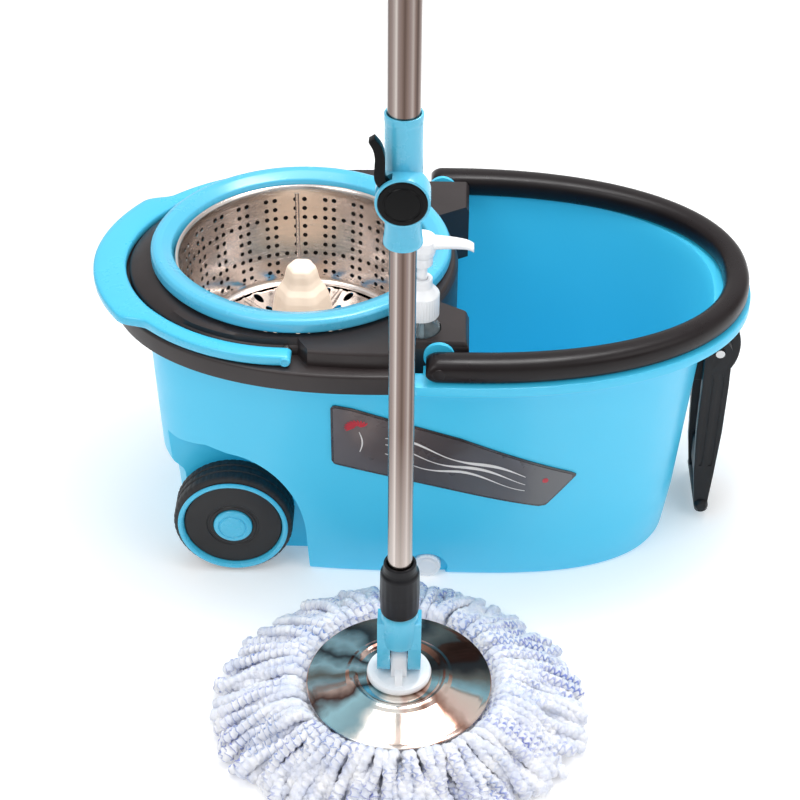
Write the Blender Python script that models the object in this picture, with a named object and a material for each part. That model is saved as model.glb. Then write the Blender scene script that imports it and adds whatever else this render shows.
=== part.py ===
# Spin mop with wheeled bucket.
# World frame: metres, +Z up, X along the bucket (tow end at +X, wheels at -X),
# Y across it. The origin is the middle of the bucket's flat underside.
import math
import bpy
import bmesh
from mathutils import Vector, Matrix

for o in list(bpy.data.objects):
    bpy.data.objects.remove(o, do_unlink=True)

# ------------------------------------------------------------------ driving dimensions
GAP = 0.0003                 # clearance between pieces that touch
X0 = 0.026                   # centre of the bucket's right-hand oval
WALL = 0.0026                # bucket wall
FLOOR = 0.0042               # bucket floor thickness
Z_FLANGE0, Z_FLANGE1 = 0.2256, 0.2356
FL_A, FL_AL, FL_B, FL_N, FL_NL = 0.2485, 0.2875, 0.1565, 2.15, 2.60
BX = -0.1093                 # spinner axis, x
RING_R = 0.128               # splash ring outer radius
RING_TOP = 0.2696
DECK_X0, DECK_A, DECK_B, DECK_N = -0.054, 0.2165, 0.155, 2.2
DECK_TOP = 0.2575
LEDGE_Z = 0.2435
DRUM_R, DRUM_BASE_R, DRUM_FLOOR, DRUM_RIM = 0.1035, 0.098, 0.163, 0.2605
LOOP_Z0, LOOP_Z1 = 0.2359, 0.2572
LOOP_PIV = (0.010, 0.2464)
BAIL_PIV = (-0.1132, 0.2488)
BAIL_IN_Y = 0.1292           # inner half width of the deck handle, clear of the splash ring when it is raised
SHOULDER_Z = 0.2515          # deck's shoulder beside the deck handle
WHEEL_X, WHEEL_Z, WHEEL_R = -0.1655, 0.0520, 0.0517
WELL_Y = 0.0840              # wheel well's inner plane
TOW_PIV = (0.2515, 0.1850)
CUP_X, CUP_Y = -0.005, -0.1035
BOTTLE_R = 0.0155
DRAIN_X, DRAIN_Z = 0.0036, 0.0125
MX, MY = -0.0165, -0.290     # mop axis
PIVOT_Z = 0.071              # fork pin height
DISC_R = 0.074
STRAND_R, STRAND_RY, STRAND_RY_BACK = 0.154, 0.133, 0.147
LOWER_R, UPPER_R, TUBE_T = 0.0095, 0.0110, 0.0010
LOWER_Z0, LOWER_Z1 = 0.1255, 0.7000
UPPER_Z0, UPPER_Z1 = 0.4800, 1.1900
BOSS_Z, BOSS_R = 0.5046, 0.0185
SCREW_LEAD = 0.100           # metres of travel in one turn of the twisted rod

FACETS = 0.76                # share of the nominal facet count that round pieces use

BLUE = ((0.10, 0.55, 0.82), 0.32, 0.0)
DEEP = ((0.03, 0.40, 0.78), 0.35, 0.0)
BLACK = ((0.035, 0.032, 0.031), 0.42, 0.0)
STEEL = ((0.62, 0.60, 0.58), 0.18, 1.0)
IVORY = ((0.86, 0.78, 0.66), 0.45, 0.0)
WHITE = ((0.88, 0.89, 0.90), 0.40, 0.0)
CLEAR = ((0.75, 0.86, 0.90), 0.10, 0.0)
RUBBER = ((0.02, 0.02, 0.02), 0.75, 0.0)
FIBRE = ((0.80, 0.83, 0.90), 0.95, 0.0)
LABEL = ((0.10, 0.09, 0.10), 0.35, 0.0)


# ------------------------------------------------------------------ helpers
def material(name, look):
    m = bpy.data.materials.new(name + "_mat")
    m.use_nodes = True
    b = m.node_tree.nodes["Principled BSDF"]
    b.inputs["Base Color"].default_value = (*look[0], 1.0)
    b.inputs["Roughness"].default_value = look[1]
    b.inputs["Metallic"].default_value = look[2]
    m.diffuse_color = (*look[0], 1.0)
    return m


def new_object(name, bm, look, origin=(0, 0, 0), smooth=True):
    """Make an object whose origin is `origin`; bm is in world coordinates."""
    bmesh.ops.translate(bm, verts=bm.verts, vec=-Vector(origin))
    bmesh.ops.recalc_face_normals(bm, faces=bm.faces)
    me = bpy.data.meshes.new(name)
    bm.to_mesh(me)
    bm.free()
    if smooth:
        me.shade_smooth()
        me.set_sharp_from_angle(angle=math.radians(35))
    ob = bpy.data.objects.new(name, me)
    ob.location = origin
    bpy.context.scene.collection.objects.link(ob)
    ob.data.materials.append(material(name, look))
    return ob


def bm_loft(rings, close=False, caps=True):
    """Skin a list of rings with the same number of points. close joins the last ring to the first."""
    bm = bmesh.new()
    rows = [[bm.verts.new(p) for p in r] for r in rings]
    n = len(rows[0])
    pairs = list(zip(rows, rows[1:])) + ([(rows[-1], rows[0])] if close else [])
    for a, b in pairs:
        for i in range(n):
            j = (i + 1) % n
            bm.faces.new((a[i], a[j], b[j], b[i]))
    if caps and not close:
        bm.faces.new(rows[0][::-1])
        bm.faces.new(rows[-1])
    return bm


def frame_of(axis):
    if axis == "Z":
        return lambda r, t, u: (r * math.cos(t), r * math.sin(t), u)
    if axis == "Y":
        return lambda r, t, u: (r * math.sin(t), u, r * math.cos(t))
    return lambda r, t, u: (u, r * math.cos(t), r * math.sin(t))


def bm_lathe(profile, centre, axis="Z", n=32, sy=1.0, phase=0.0):
    """Turn (radius, height) points about an axis through centre. A closed outline with no
    point on the axis makes a ring; one that starts and ends on the axis makes a plug."""
    f = frame_of(axis)
    c = Vector(centre)
    if n > 12:
        n = round(n * FACETS)
    bm = bmesh.new()
    solid = profile[0][0] == 0 and profile[-1][0] == 0
    rows = []
    for r, u in profile:
        if r == 0:
            rows.append([bm.verts.new(Vector(f(0, 0, u)) + c)])
        else:
            row = []
            for i in range(n):
                p = Vector(f(r, 2 * math.pi * (i + phase) / n, u))
                if axis == "Z":
                    p.y *= sy(r, p.y) if callable(sy) else sy
                row.append(bm.verts.new(p + c))
            rows.append(row)
    pairs = list(zip(rows, rows[1:])) + ([] if solid else [(rows[-1], rows[0])])
    for a, b in pairs:
        for i in range(n):
            j = (i + 1) % n
            if len(a) == 1 and len(b) == 1:
                continue
            if len(a) == 1:
                bm.faces.new((a[0], b[j], b[i]))
            elif len(b) == 1:
                bm.faces.new((a[i], a[j], b[0]))
            else:
                bm.faces.new((a[i], a[j], b[j], b[i]))
    return bm


def bm_cyl(r, u0, u1, centre, axis="Z", n=24, hole=0.0, phase=0.0):
    if hole:
        return bm_lathe([(hole, u0), (r, u0), (r, u1), (hole, u1)], centre, axis, n, phase=phase)
    return bm_lathe([(0, u0), (r, u0), (r, u1), (0, u1)], centre, axis, n, phase=phase)


def bm_prism(outline, lo, hi, axis="Y"):
    """Extrude a flat outline. axis Y: outline is (x, z); axis Z: (x, y); axis X: (y, z)."""
    def put(a, b, w):
        return {"Y": (a, w, b), "Z": (a, b, w), "X": (w, a, b)}[axis]
    return bm_loft([[put(a, b, lo) for a, b in outline], [put(a, b, hi) for a, b in outline]])


def bm_box(x0, x1, y0, y1, z0, z1):
    return bm_prism([(x0, y0), (x1, y0), (x1, y1), (x0, y1)], z0, z1, "Z")


def bm_join(*parts):
    out = bmesh.new()
    for b in parts:
        me = bpy.data.meshes.new("tmp")
        b.to_mesh(me)
        b.free()
        out.from_mesh(me)
        bpy.data.meshes.remove(me)
    return out


def helper(name, bm):
    bmesh.ops.recalc_face_normals(bm, faces=bm.faces)
    me = bpy.data.meshes.new(name)
    bm.to_mesh(me)
    bm.free()
    ob = bpy.data.objects.new(name, me)
    ob.hide_render = True
    ob.display_type = "WIRE"
    bpy.context.scene.collection.objects.link(ob)
    return ob


def cut(ob, name, bm, op="DIFFERENCE"):
    h = helper(name, bm)
    m = ob.modifiers.new(name, "BOOLEAN")
    m.operation = op
    m.solver = "EXACT"
    m.object = h
    return ob


STEP_XA, STEP_XB = -0.0078, -0.0090    # where the rim steps in, to pass under the deck's skirt


def oval_angles(count=34):
    """Even angles round the oval, and a pair on each side where the rim steps in."""
    ts = [2 * math.pi * i / count for i in range(count)]
    for x in (STEP_XA, STEP_XB):
        t = math.acos(-(((X0 - x) / FL_AL) ** (FL_NL / 2)))
        ts += [t, 2 * math.pi - t]
    return sorted(ts)


def oval(x0, ar, al, b, nr, nl, squeeze=None):
    """Outline of an oval whose right and left halves have their own lengths."""
    pts = []
    for t in oval_angles():
        c, s = math.cos(t), math.sin(t)
        a, n = (ar, nr) if c > 0 else (al, nl)
        if c <= 0:
            # even spacing along a fuller end
            k = abs(c) ** (2 / FL_NL)
            x = x0 - a * k
            y = math.copysign(b * max(0.0, 1 - k ** n) ** (1 / n), s) if abs(s) > 1e-9 else 0.0
        else:
            x = x0 + a * abs(c) ** (2 / n)
            y = b * math.copysign(abs(s) ** (2 / n), s)
        if squeeze:
            y *= squeeze(x)
        pts.append((x, y))
    return pts


def lerp_rows(rows, z):
    for a, b in zip(rows, rows[1:]):
        if a[0] <= z <= b[0]:
            k = (z - a[0]) / (b[0] - a[0])
            return [p + (q - p) * k for p, q in zip(a, b)]
    return list(rows[-1] if z > rows[-1][0] else rows[0])


# ------------------------------------------------------------------ bucket tub
# height, right length, left length, half width, fullness of the right and of the left half
TUB = [
    (0.0000, 0.1885, 0.2380, 0.1130, 2.75, 3.60),
    (0.0040, 0.1925, 0.2420, 0.1170, 2.70, 3.70),
    (0.0470, 0.1985, 0.2465, 0.1222, 2.60, 3.90),
    (0.0860, 0.2018, 0.2485, 0.1258, 2.52, 4.00),
    (0.0970, 0.2028, 0.2585, 0.1268, 2.50, 4.00),
    (0.1240, 0.2052, 0.2595, 0.1290, 2.45, 4.00),
    (0.2050, 0.2125, 0.2640, 0.1355, 2.30, 3.50),
    (0.2165, 0.2165, 0.2670, 0.1388, 2.25, 3.20),
    (0.2222, 0.2265, 0.2740, 0.1450, 2.20, 2.80),
    (0.2256, 0.2440, 0.2850, 0.1545, 2.16, 2.60),
]


def flange_squeeze(x):
    k = min(1.0, max(0.0, (STEP_XA - 0.0001 - x) / (STEP_XA - STEP_XB - 0.0002)))
    return 1.0 - 0.055 * k


def tub_ring(row, grow=0.0, z=None, squeeze=None):
    zz, ar, al, b, n, nl = row
    return [(x, y, zz if z is None else z)
            for x, y in oval(X0, ar + grow, al + grow, b + grow, n, nl, squeeze=squeeze)]


def tub_wall_y(x, z):
    """Front face of the wall (negative y) at a place on it."""
    _, ar, al, b, n, nl = lerp_rows(TUB, z)
    a = ar if x > X0 else al
    n = n if x > X0 else nl
    k = min(1.0, abs((x - X0) / a))
    return -b * (1 - k ** n) ** (1 / n)


outer = [tub_ring(r) for r in TUB[:-1]]
outer.append(tub_ring(TUB[-1], squeeze=flange_squeeze))
outer.append([(x, y, Z_FLANGE0 + 0.0010) for x, y in oval(X0, FL_A, FL_AL, FL_B, FL_N, FL_NL, squeeze=flange_squeeze)])
outer.append([(x, y, Z_FLANGE1) for x, y in oval(X0, FL_A, FL_AL, FL_B, FL_N, FL_NL, squeeze=flange_squeeze)])


def arch(grow, lo_x):
    """Wheel arch: an arched opening that runs out past the bucket's left end."""
    cx, cz = WHEEL_X, WHEEL_Z
    ra = 0.0640 + grow
    pts = [(cx + ra + 0.0035, -0.03), (cx + ra + 0.001, 0.015)]
    for i in range(9):
        t = 0.5 * math.pi * i / 8.0
        pts.append((cx + ra * math.cos(t), cz - 0.012 + (0.0925 + grow) * math.sin(t)))
    top = cz - 0.012 + 0.0925 + grow
    pts += [(cx - 0.020, top + 0.004), (cx - 0.045, top - 0.002), (lo_x, top - 0.012), (lo_x, -0.03)]
    return pts


tub = new_object("tub_shell", bm_loft(outer), BLUE)

# hollow of the tub: it follows the wall, and steps round the wheel wells and the drain niche
INNER = [lerp_rows(TUB, FLOOR)] + [r for r in TUB[2:7]]
inner = [tub_ring(r, grow=-WALL) for r in INNER]
inner[0] = tub_ring(lerp_rows(TUB, FLOOR), grow=-WALL - 0.003, z=FLOOR)
inner.insert(1, tub_ring(lerp_rows(TUB, 0.0085), grow=-WALL, z=0.0085))
inner.append([(x, y, 0.2200) for x, y in oval(X0, 0.2140, 0.2640, 0.1352, 2.26, 3.20)])
inner.append([(x, y, 0.2500) for x, y in oval(X0, 0.2190, 0.2660, 0.1368, 2.24, 3.00)])
cavity = helper("tub_cavity", bm_loft(inner))
for side, tag in ((-1, "front"), (1, "rear")):
    y_in, y_out = side * (WELL_Y - WALL), side * 0.20
    h = helper("well_clear_" + tag, bm_prism(arch(WALL, -0.34), min(y_in, y_out), max(y_in, y_out)))
    m = cavity.modifiers.new("well", "BOOLEAN")
    m.operation, m.solver, m.object = "DIFFERENCE", "EXACT", h
    # a solid boss inside the well's wall takes the axle
    h = helper("boss_clear_" + tag, bm_cyl(0.0105, min(side * 0.0640, side * 0.09), max(side * 0.0640, side * 0.09),
                                         (WHEEL_X, 0, WHEEL_Z), "Y", 20))
    m = cavity.modifiers.new("boss", "BOOLEAN")
    m.operation, m.solver, m.object = "DIFFERENCE", "EXACT", h
NICHE_Y = -0.1110
h = helper("niche_clear", bm_cyl(0.0205, -0.2, NICHE_Y + WALL, (DRAIN_X, 0, 0.0080), "Y", 24))
m = cavity.modifiers.new("niche", "BOOLEAN")
m.operation, m.solver, m.object = "DIFFERENCE", "EXACT", h

for side, tag in ((-1, "front"), (1, "rear")):
    y_in, y_out = side * WELL_Y, side * 0.20
    cut(tub, "well_" + tag, bm_prism(arch(0.0, -0.34), min(y_in, y_out), max(y_in, y_out)))
cut(tub, "drain_niche", bm_cyl(0.0180, -0.2, NICHE_Y, (DRAIN_X, 0, 0.0080), "Y", 24))
m = tub.modifiers.new("hollow", "BOOLEAN")
m.operation, m.solver, m.object = "DIFFERENCE", "EXACT", cavity

# hinge ears for the carry handle stand on the inside of the rim, one on each side
for side, tag in ((-1, "front"), (1, "rear")):
    ya, yb = side * 0.1262, side * 0.1297
    ear = bm_cyl(0.0125, min(ya, yb), max(ya, yb), (LOOP_PIV[0], 0, LOOP_PIV[1]), "Y", 28)
    cut(tub, "ear_" + tag, ear, "UNION")
    yc = side * 0.1375
    foot = bm_box(LOOP_PIV[0] - 0.0125, LOOP_PIV[0] + 0.0125, min(ya, yc), max(ya, yc), 0.2180, Z_FLANGE1 - 0.0004)
    cut(tub, "ear_foot_" + tag, foot, "UNION")
    cut(tub, "ear_hole_" + tag, bm_cyl(0.0053, -0.01, 0.01, (LOOP_PIV[0], side * 0.128, LOOP_PIV[1]), "Y", 16, phase=0.23))
    yd, ye = side * 0.0700, side * 0.10
    cut(tub, "axle_hole_" + tag, bm_cyl(0.0048, min(yd, ye), max(yd, ye), (WHEEL_X, 0, WHEEL_Z), "Y", 16))
cut(tub, "drain_hole", bm_cyl(0.0078, -0.125, -0.100, (DRAIN_X, 0, DRAIN_Z), "Y", 20))
for z in (0.155, 0.195):
    cut(tub, "tow_screw_hole_%03d" % int(z * 1000), bm_cyl(0.0024, 0.20, 0.26, (0, 0, z), "X", 12, phase=0.31))

# ------------------------------------------------------------------ spinner deck (black insert)


def ray_superellipse(th, x0, a, b, n):
    """Distance from the spinner axis to a superellipse round (x0, 0), along direction th."""
    lo, hi = 0.0, 0.5
    for _ in range(40):
        mid = 0.5 * (lo + hi)
        x, y = BX + mid * math.cos(th), mid * math.sin(th)
        if abs((x - x0) / a) ** n + abs(y / b) ** n < 1:
            lo = mid
        else:
            hi = mid
    return lo


def on_rim(th):
    """True where the deck's edge lies outside the bucket's rim."""
    r = ray_superellipse(th, DECK_X0, DECK_A, DECK_B, DECK_N)
    return BX + r * math.cos(th) <= DECK_END


DECK_END = -0.0095           # where the deck's outer skirt meets the carry handle
TONGUE_X, TONGUE_Y = 0.034, 0.1255


def deck_edge(th, shrink=0.0):
    """Outer edge of the deck seen from above."""
    c, s = math.cos(th), abs(math.sin(th))
    if on_rim(th):
        return ray_superellipse(th, DECK_X0, DECK_A - shrink, DECK_B - shrink, DECK_N)
    arc = 0.134 - shrink
    if s > 1e-6 and c > 0:
        # beside the loop's end, the tongue fills the space inside the rim
        rx = (TONGUE_X - shrink - BX) / c
        ry = (TONGUE_Y - shrink) / s
        if ry * s > 0 and 29.5 < math.degrees(math.atan2(s, c)):
            return max(arc, min(rx, ry))
    return arc


COLUMNS = None


def deck_plateau(th):
    c = math.cos(th)
    e = deck_edge(th)
    x = BX + e * c
    if not on_rim(th):
        return e - 0.0016
    if x > -0.0985:
        return e - 0.0130
    return min(e - 0.006, ray_superellipse(th, -0.117, 0.1414 - 0.0024, BAIL_IN_Y - 0.0024, 1.95))


def deck_columns(count=34):
    """Even directions from the spinner axis, and a close pair at each step of the outline."""
    steps = [math.radians(29.5), math.atan2(TONGUE_Y, TONGUE_X - BX)]
    for x_at in (DECK_END, -0.0985):
        lo, hi = 0.0, math.pi
        for _ in range(50):
            mid = 0.5 * (lo + hi)
            e = ray_superellipse(mid, DECK_X0, DECK_A, DECK_B, DECK_N)
            if BX + e * math.cos(mid) > x_at:
                lo = mid
            else:
                hi = mid
        steps.append(lo)
    ths = [2 * math.pi * (i + 0.5) / count for i in range(count)]
    ths = [t for t in ths if all(abs(min(t, 2 * math.pi - t) - s) > 0.025 for s in steps)]
    for s in steps:
        for e in (-0.0022, 0.0022):
            ths += [s + e, 2 * math.pi - s - e]
    return sorted(ths)


def deck_row(rf, zf):
    row = []
    for th in COLUMNS:
        r = rf(th) if callable(rf) else rf
        z = zf(th) if callable(zf) else zf
        row.append((BX + r * math.cos(th), r * math.sin(th), z))
    return row


COLUMNS = deck_columns()
CROSS = [t for t in COLUMNS if on_rim(t)]
CROSS = (min(CROSS), max(CROSS))


def skirt_z(th):
    """Bottom of the skirt: outside the bucket's rim, over the rim, or hanging inside it."""
    i = COLUMNS.index(th)
    first, last = COLUMNS.index(CROSS[0]), COLUMNS.index(CROSS[1])
    if i in (first, first - 1, last, last + 1):
        return 0.2386
    return 0.2262 if first < i < last else 0.2050


def beside_bail(th):
    return on_rim(th) and BX + deck_edge(th) * math.cos(th) <= -0.0985


def shoulder_top(th):
    return SHOULDER_Z if beside_bail(th) else DECK_TOP


def ledge_top(th):
    return LEDGE_Z if on_rim(th) else 0.2540


inset = 0.0028
rows = [
    deck_row(deck_edge, skirt_z),
    deck_row(lambda t: deck_edge(t), lambda t: ledge_top(t) - 0.0022),
    deck_row(lambda t: deck_edge(t) - 0.0012, ledge_top),
    deck_row(lambda t: deck_plateau(t) + 0.0002, lambda t: ledge_top(t) + 0.0002),
    deck_row(lambda t: deck_plateau(t) - 0.0006, lambda t: shoulder_top(t) - 0.0012),
    deck_row(lambda t: deck_plateau(t) - 0.0020, shoulder_top),
    deck_row(lambda t: min(deck_plateau(t) - 0.0032, 0.1285 if beside_bail(t) else 1.0), DECK_TOP),
    deck_row(0.1185, DECK_TOP),
    deck_row(0.1150, DECK_TOP - 0.0030),
    deck_row(0.1138, 0.2260),
    deck_row(0.1045, 0.1530),
    deck_row(0.0047, 0.1530),
    deck_row(0.0047, 0.1495),
    deck_row(0.1060, 0.1495),
    deck_row(0.1163, 0.2260),
    deck_row(0.1180, 0.2395),
    deck_row(lambda t: min(deck_plateau(t), deck_edge(t) - 0.0035) - inset, 0.2395),
    deck_row(lambda t: deck_edge(t) - inset, 0.2390),
    deck_row(lambda t: deck_edge(t) - inset, skirt_z),
]
deck = new_object("spinner_deck", bm_loft(rows, close=True), BLACK)
# water leaves the bowl through six windows in its floor
for k in range(6):
    a0 = math.radians(60 * k + 6)
    a1 = math.radians(60 * k + 54)
    pts = [(BX + 0.030 * math.cos(a0 + (a1 - a0) * (0.12 + 0.76 * i / 4)), 0.030 * math.sin(a0 + (a1 - a0) * (0.12 + 0.76 * i / 4))) for i in (0, 4)]
    pts += [(BX + 0.088 * math.cos(a1 - (a1 - a0) * i / 3), 0.088 * math.sin(a1 - (a1 - a0) * i / 3)) for i in range(4)]
    cut(deck, "bowl_window_%d" % k, bm_prism(pts, 0.145, 0.160, "Z"))
cut(deck, "bottle_cup", bm_cyl(BOTTLE_R + 0.0028, 0.1680, DECK_TOP - 0.0010, (CUP_X, CUP_Y, 0), "Z", 24), "UNION")
cut(deck, "bottle_cup_bore", bm_cyl(BOTTLE_R + 0.0008, 0.1710, 0.2700, (CUP_X, CUP_Y, 0), "Z", 24))
for side, tag in ((-1, "front"), (1, "rear")):
    cut(deck, "carry_pin_bore_" + tag, bm_cyl(0.0053, -0.0075, 0.0075, (LOOP_PIV[0], side * 0.1255, LOOP_PIV[1]), "Y", 16))
    cut(deck, "bail_pin_bore_" + tag, bm_cyl(0.0033, -0.012, 0.012, (BAIL_PIV[0], side * 0.1225, BAIL_PIV[1]), "Y", 14))

# ------------------------------------------------------------------ splash ring
new_object("splash_ring", bm_lathe([
    (RING_R, 0.2579), (RING_R, 0.2658), (0.1262, 0.2686), (0.1232, RING_TOP),
    (0.1185, 0.2686), (0.1110, 0.2640), (0.1090, 0.2560), (0.1104, 0.2560),
    (0.1122, 0.2622), (0.1240, 0.2664), (0.1252, 0.2579)], (BX, 0, 0), "Z", 36), BLUE)

# ------------------------------------------------------------------ basket and its drive
new_object("basket_drum", bm_lathe([
    (0.1072, 0.2590), (0.1072, 0.2618), (0.1040, 0.2618), (DRUM_R - 0.0010, 0.2540), (0.0975, 0.1670),
    (0.0940, 0.1640), (0.0220, 0.1640), (0.0220, DRUM_FLOOR), (0.0945, DRUM_FLOOR), (0.0985, 0.1665),
    (DRUM_R, 0.2540), (0.1042, 0.2590)], (BX, 0, 0), "Z", 36), STEEL, origin=(BX, 0, DRUM_FLOOR))
new_object("hub_plate", bm_lathe([
    (0.0308, 0.1643), (0.0450, 0.1643), (0.0455, 0.1660), (0.0435, 0.1680), (0.0308, 0.1690)],
    (BX, 0, 0), "Z", 28), CLEAR, origin=(BX, 0, DRUM_FLOOR))
new_object("basket_hub_cone", bm_lathe([
    (0, 0.2480), (0.0100, 0.2480), (0.0120, 0.2462), (0.0150, 0.2330), (0.0222, 0.2120),
    (0.0304, 0.1700), (0.0304, 0.1643), (0.0276, 0.1643), (0.0270, 0.1700),
    (0.0196, 0.2080), (0.0110, 0.2270), (0.0110, 0.1660), (0.0081, 0.1660),
    (0.0081, 0.2330), (0, 0.2330)], (BX, 0, 0), "Z", 16), IVORY, origin=(BX, 0, DRUM_FLOOR))
new_object("basket_lower_flange", bm_lathe([
    (0.0076, 0.1592), (0.0400, 0.1592), (0.0400, 0.1626), (0.0215, 0.1626), (0.0215, 0.1650),
    (0.0115, 0.1650), (0.0115, 0.1630), (0.0076, 0.1630)], (BX, 0, 0), "Z", 24), WHITE, origin=(BX, 0, DRUM_FLOOR))
new_object("spindle_bush", bm_cyl(0.0077, 0.1640, 0.2315, (BX, 0, 0), "Z", 20, hole=0.0049), WHITE,
           origin=(BX, 0, DRUM_FLOOR))
new_object("basket_spindle", bm_lathe([
    (0, 0.1400), (0.0038, 0.1400), (0.0042, 0.1410), (0.0042, 0.1533), (0.0090, 0.1533), (0.0090, 0.1552),
    (0.0044, 0.1556), (0.0044, 0.2270), (0.0036, 0.2285), (0, 0.2290)], (BX, 0, 0), "Z", 20), STEEL)
new_object("spindle_nut", bm_cyl(0.0078, 0.1425, 0.1492, (BX, 0, 0), "Z", 6, hole=0.0050), STEEL, smooth=False)

# ------------------------------------------------------------------ carry handle (loop)
def loop_section(xi, yi, xo, yo, half=1.0):
    """Rounded section between an inner and an outer point, seen along the loop."""
    zc, h = 0.5 * (LOOP_Z0 + LOOP_Z1), 0.5 * (LOOP_Z1 - LOOP_Z0) * half
    pts = []
    for s, z in ((0.00, 0.30), (0.14, 0.86), (0.50, 1.00), (0.86, 0.86), (1.00, 0.30),
                 (1.00, -1.00), (0.00, -1.00)):
        pts.append((xi + (xo - xi) * s, yi + (yo - yi) * s, zc + h * z))
    return pts


LOOP_IN = (0.2245, 0.1302, 2.2)
LOOP_OUT = (0.2460, 0.1545, 2.15)


def half_loop_point(t, dims):
    a, b, n = dims
    c, s = math.cos(t), math.sin(t)
    return X0 + a * abs(c) ** (2 / n), b * math.copysign(abs(s) ** (2 / n), s)


sections = []
LOOP_END = ((0.0101, 0.270), (0.0086, 0.566), (0.0048, 0.877), (0.0, 0.985))   # half round about the pin
for e, hh in LOOP_END:
    x = LOOP_PIV[0] - e
    sections.append(loop_section(x, -LOOP_IN[1], x, -LOOP_OUT[1], hh))
for i in range(0, 23):
    t = -math.pi / 2 + math.pi * i / 22
    a = half_loop_point(t, LOOP_IN)
    b = half_loop_point(t, LOOP_OUT)
    sections.append(loop_section(*a, *b))
for e, hh in LOOP_END[::-1]:
    x = LOOP_PIV[0] - e
    sections.append(loop_section(x, LOOP_IN[1], x, LOOP_OUT[1], hh))
loop = new_object("carry_handle", bm_loft(sections), BLACK, origin=(LOOP_PIV[0], 0, LOOP_PIV[1]))
for side, tag in ((-1, "front"), (1, "rear")):
    cut(loop, "loop_bore_" + tag, bm_cyl(0.0054, -0.02, 0.0085, (LOOP_PIV[0], side * 0.142, LOOP_PIV[1]), "Y", 16)
        if side > 0 else bm_cyl(0.0054, -0.0085, 0.02, (LOOP_PIV[0], side * 0.142, LOOP_PIV[1]), "Y", 16))
    y0, y1 = side * 0.1190, side * 0.1500
    new_object("carry_pin_" + tag, bm_cyl(0.0050, min(y0, y1), max(y0, y1), (LOOP_PIV[0], 0, LOOP_PIV[1]), "Y", 16),
               STEEL, origin=(LOOP_PIV[0], side * 0.142, LOOP_PIV[1]))

# ------------------------------------------------------------------ deck handle (bail)
def bail_inner(t):
    c, s = math.cos(t), math.sin(t)
    return Vector((-0.117 - 0.1414 * abs(c) ** (2 / 1.95), BAIL_IN_Y * math.copysign(abs(s) ** (2 / 1.95), s), 0))


def bail_section(p, nrm, w, z0, z1, k=1.0):
    zc, h = 0.5 * (z0 + z1), 0.5 * (z1 - z0) * k
    out = []
    for s, z in ((0.0, 0.5), (0.12, 1.0), (0.88, 1.0), (1.0, 0.5), (1.0, -0.8), (0.0, -0.8)):
        q = p + nrm * (w * s)
        out.append((q.x, q.y, zc + h * z))
    return out


BAIL_Z0, BAIL_Z1 = LEDGE_Z + 0.0005, 0.2541
BAIL_END = ((0.0046, 0.190), (0.0040, 0.489), (0.0026, 0.775), (0.0, 0.930))   # half round about the pin
rows = []
for e, k in BAIL_END:
    rows.append(bail_section(Vector((BAIL_PIV[0] + e, -BAIL_IN_Y, 0)), Vector((0, -1, 0)), 0.0150, BAIL_Z0, BAIL_Z1, k))
N_B = 24
for i in range(N_B + 1):
    t = -math.pi / 2 + math.pi * i / N_B
    p = bail_inner(t)
    d = (bail_inner(min(math.pi / 2, t + 0.01)) - bail_inner(max(-math.pi / 2, t - 0.01))).normalized()
    nrm = Vector((-d.y, d.x, 0))
    if nrm.x > 0 and abs(p.y) < 0.12:
        nrm.negate()
    if i in (0, N_B):
        nrm = Vector((0, math.copysign(1, p.y), 0))
    if nrm.dot(Vector((p.x + 0.09, p.y * 1.2, 0))) < 0:
        nrm.negate()
    grip = min(1.0, max(0.0, (0.088 - abs(p.y)) / 0.016))
    grip = grip * grip * (3 - 2 * grip)
    rows.append(bail_section(p, nrm, 0.0150 + 0.0130 * grip, BAIL_Z0, BAIL_Z1))
for e, k in BAIL_END[::-1]:
    rows.append(bail_section(Vector((BAIL_PIV[0] + e, BAIL_IN_Y, 0)), Vector((0, 1, 0)), 0.0150, BAIL_Z0, BAIL_Z1, k))
bail = new_object("deck_handle", bm_loft(rows), BLUE, origin=(BAIL_PIV[0], 0, BAIL_PIV[1]))
for side, tag in ((-1, "front"), (1, "rear")):
    cut(bail, "bail_bore_" + tag, bm_cyl(0.0033, -0.009, 0.006, (BAIL_PIV[0], side * 0.1340, BAIL_PIV[1]), "Y", 14) if side > 0
        else bm_cyl(0.0033, -0.006, 0.009, (BAIL_PIV[0], side * 0.1340, BAIL_PIV[1]), "Y", 14))
    y0, y1 = side * 0.1145, side * 0.1385
    new_object("deck_handle_pin_" + tag, bm_cyl(0.0030, min(y0, y1), max(y0, y1), (BAIL_PIV[0], 0, BAIL_PIV[1]), "Y", 14),
               STEEL, origin=(BAIL_PIV[0], side * 0.130, BAIL_PIV[1]))

# ------------------------------------------------------------------ wheels
def side_profile(profile, side, base=0.0870):
    return [(r, side * (base + u)) for r, u in profile]


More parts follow.
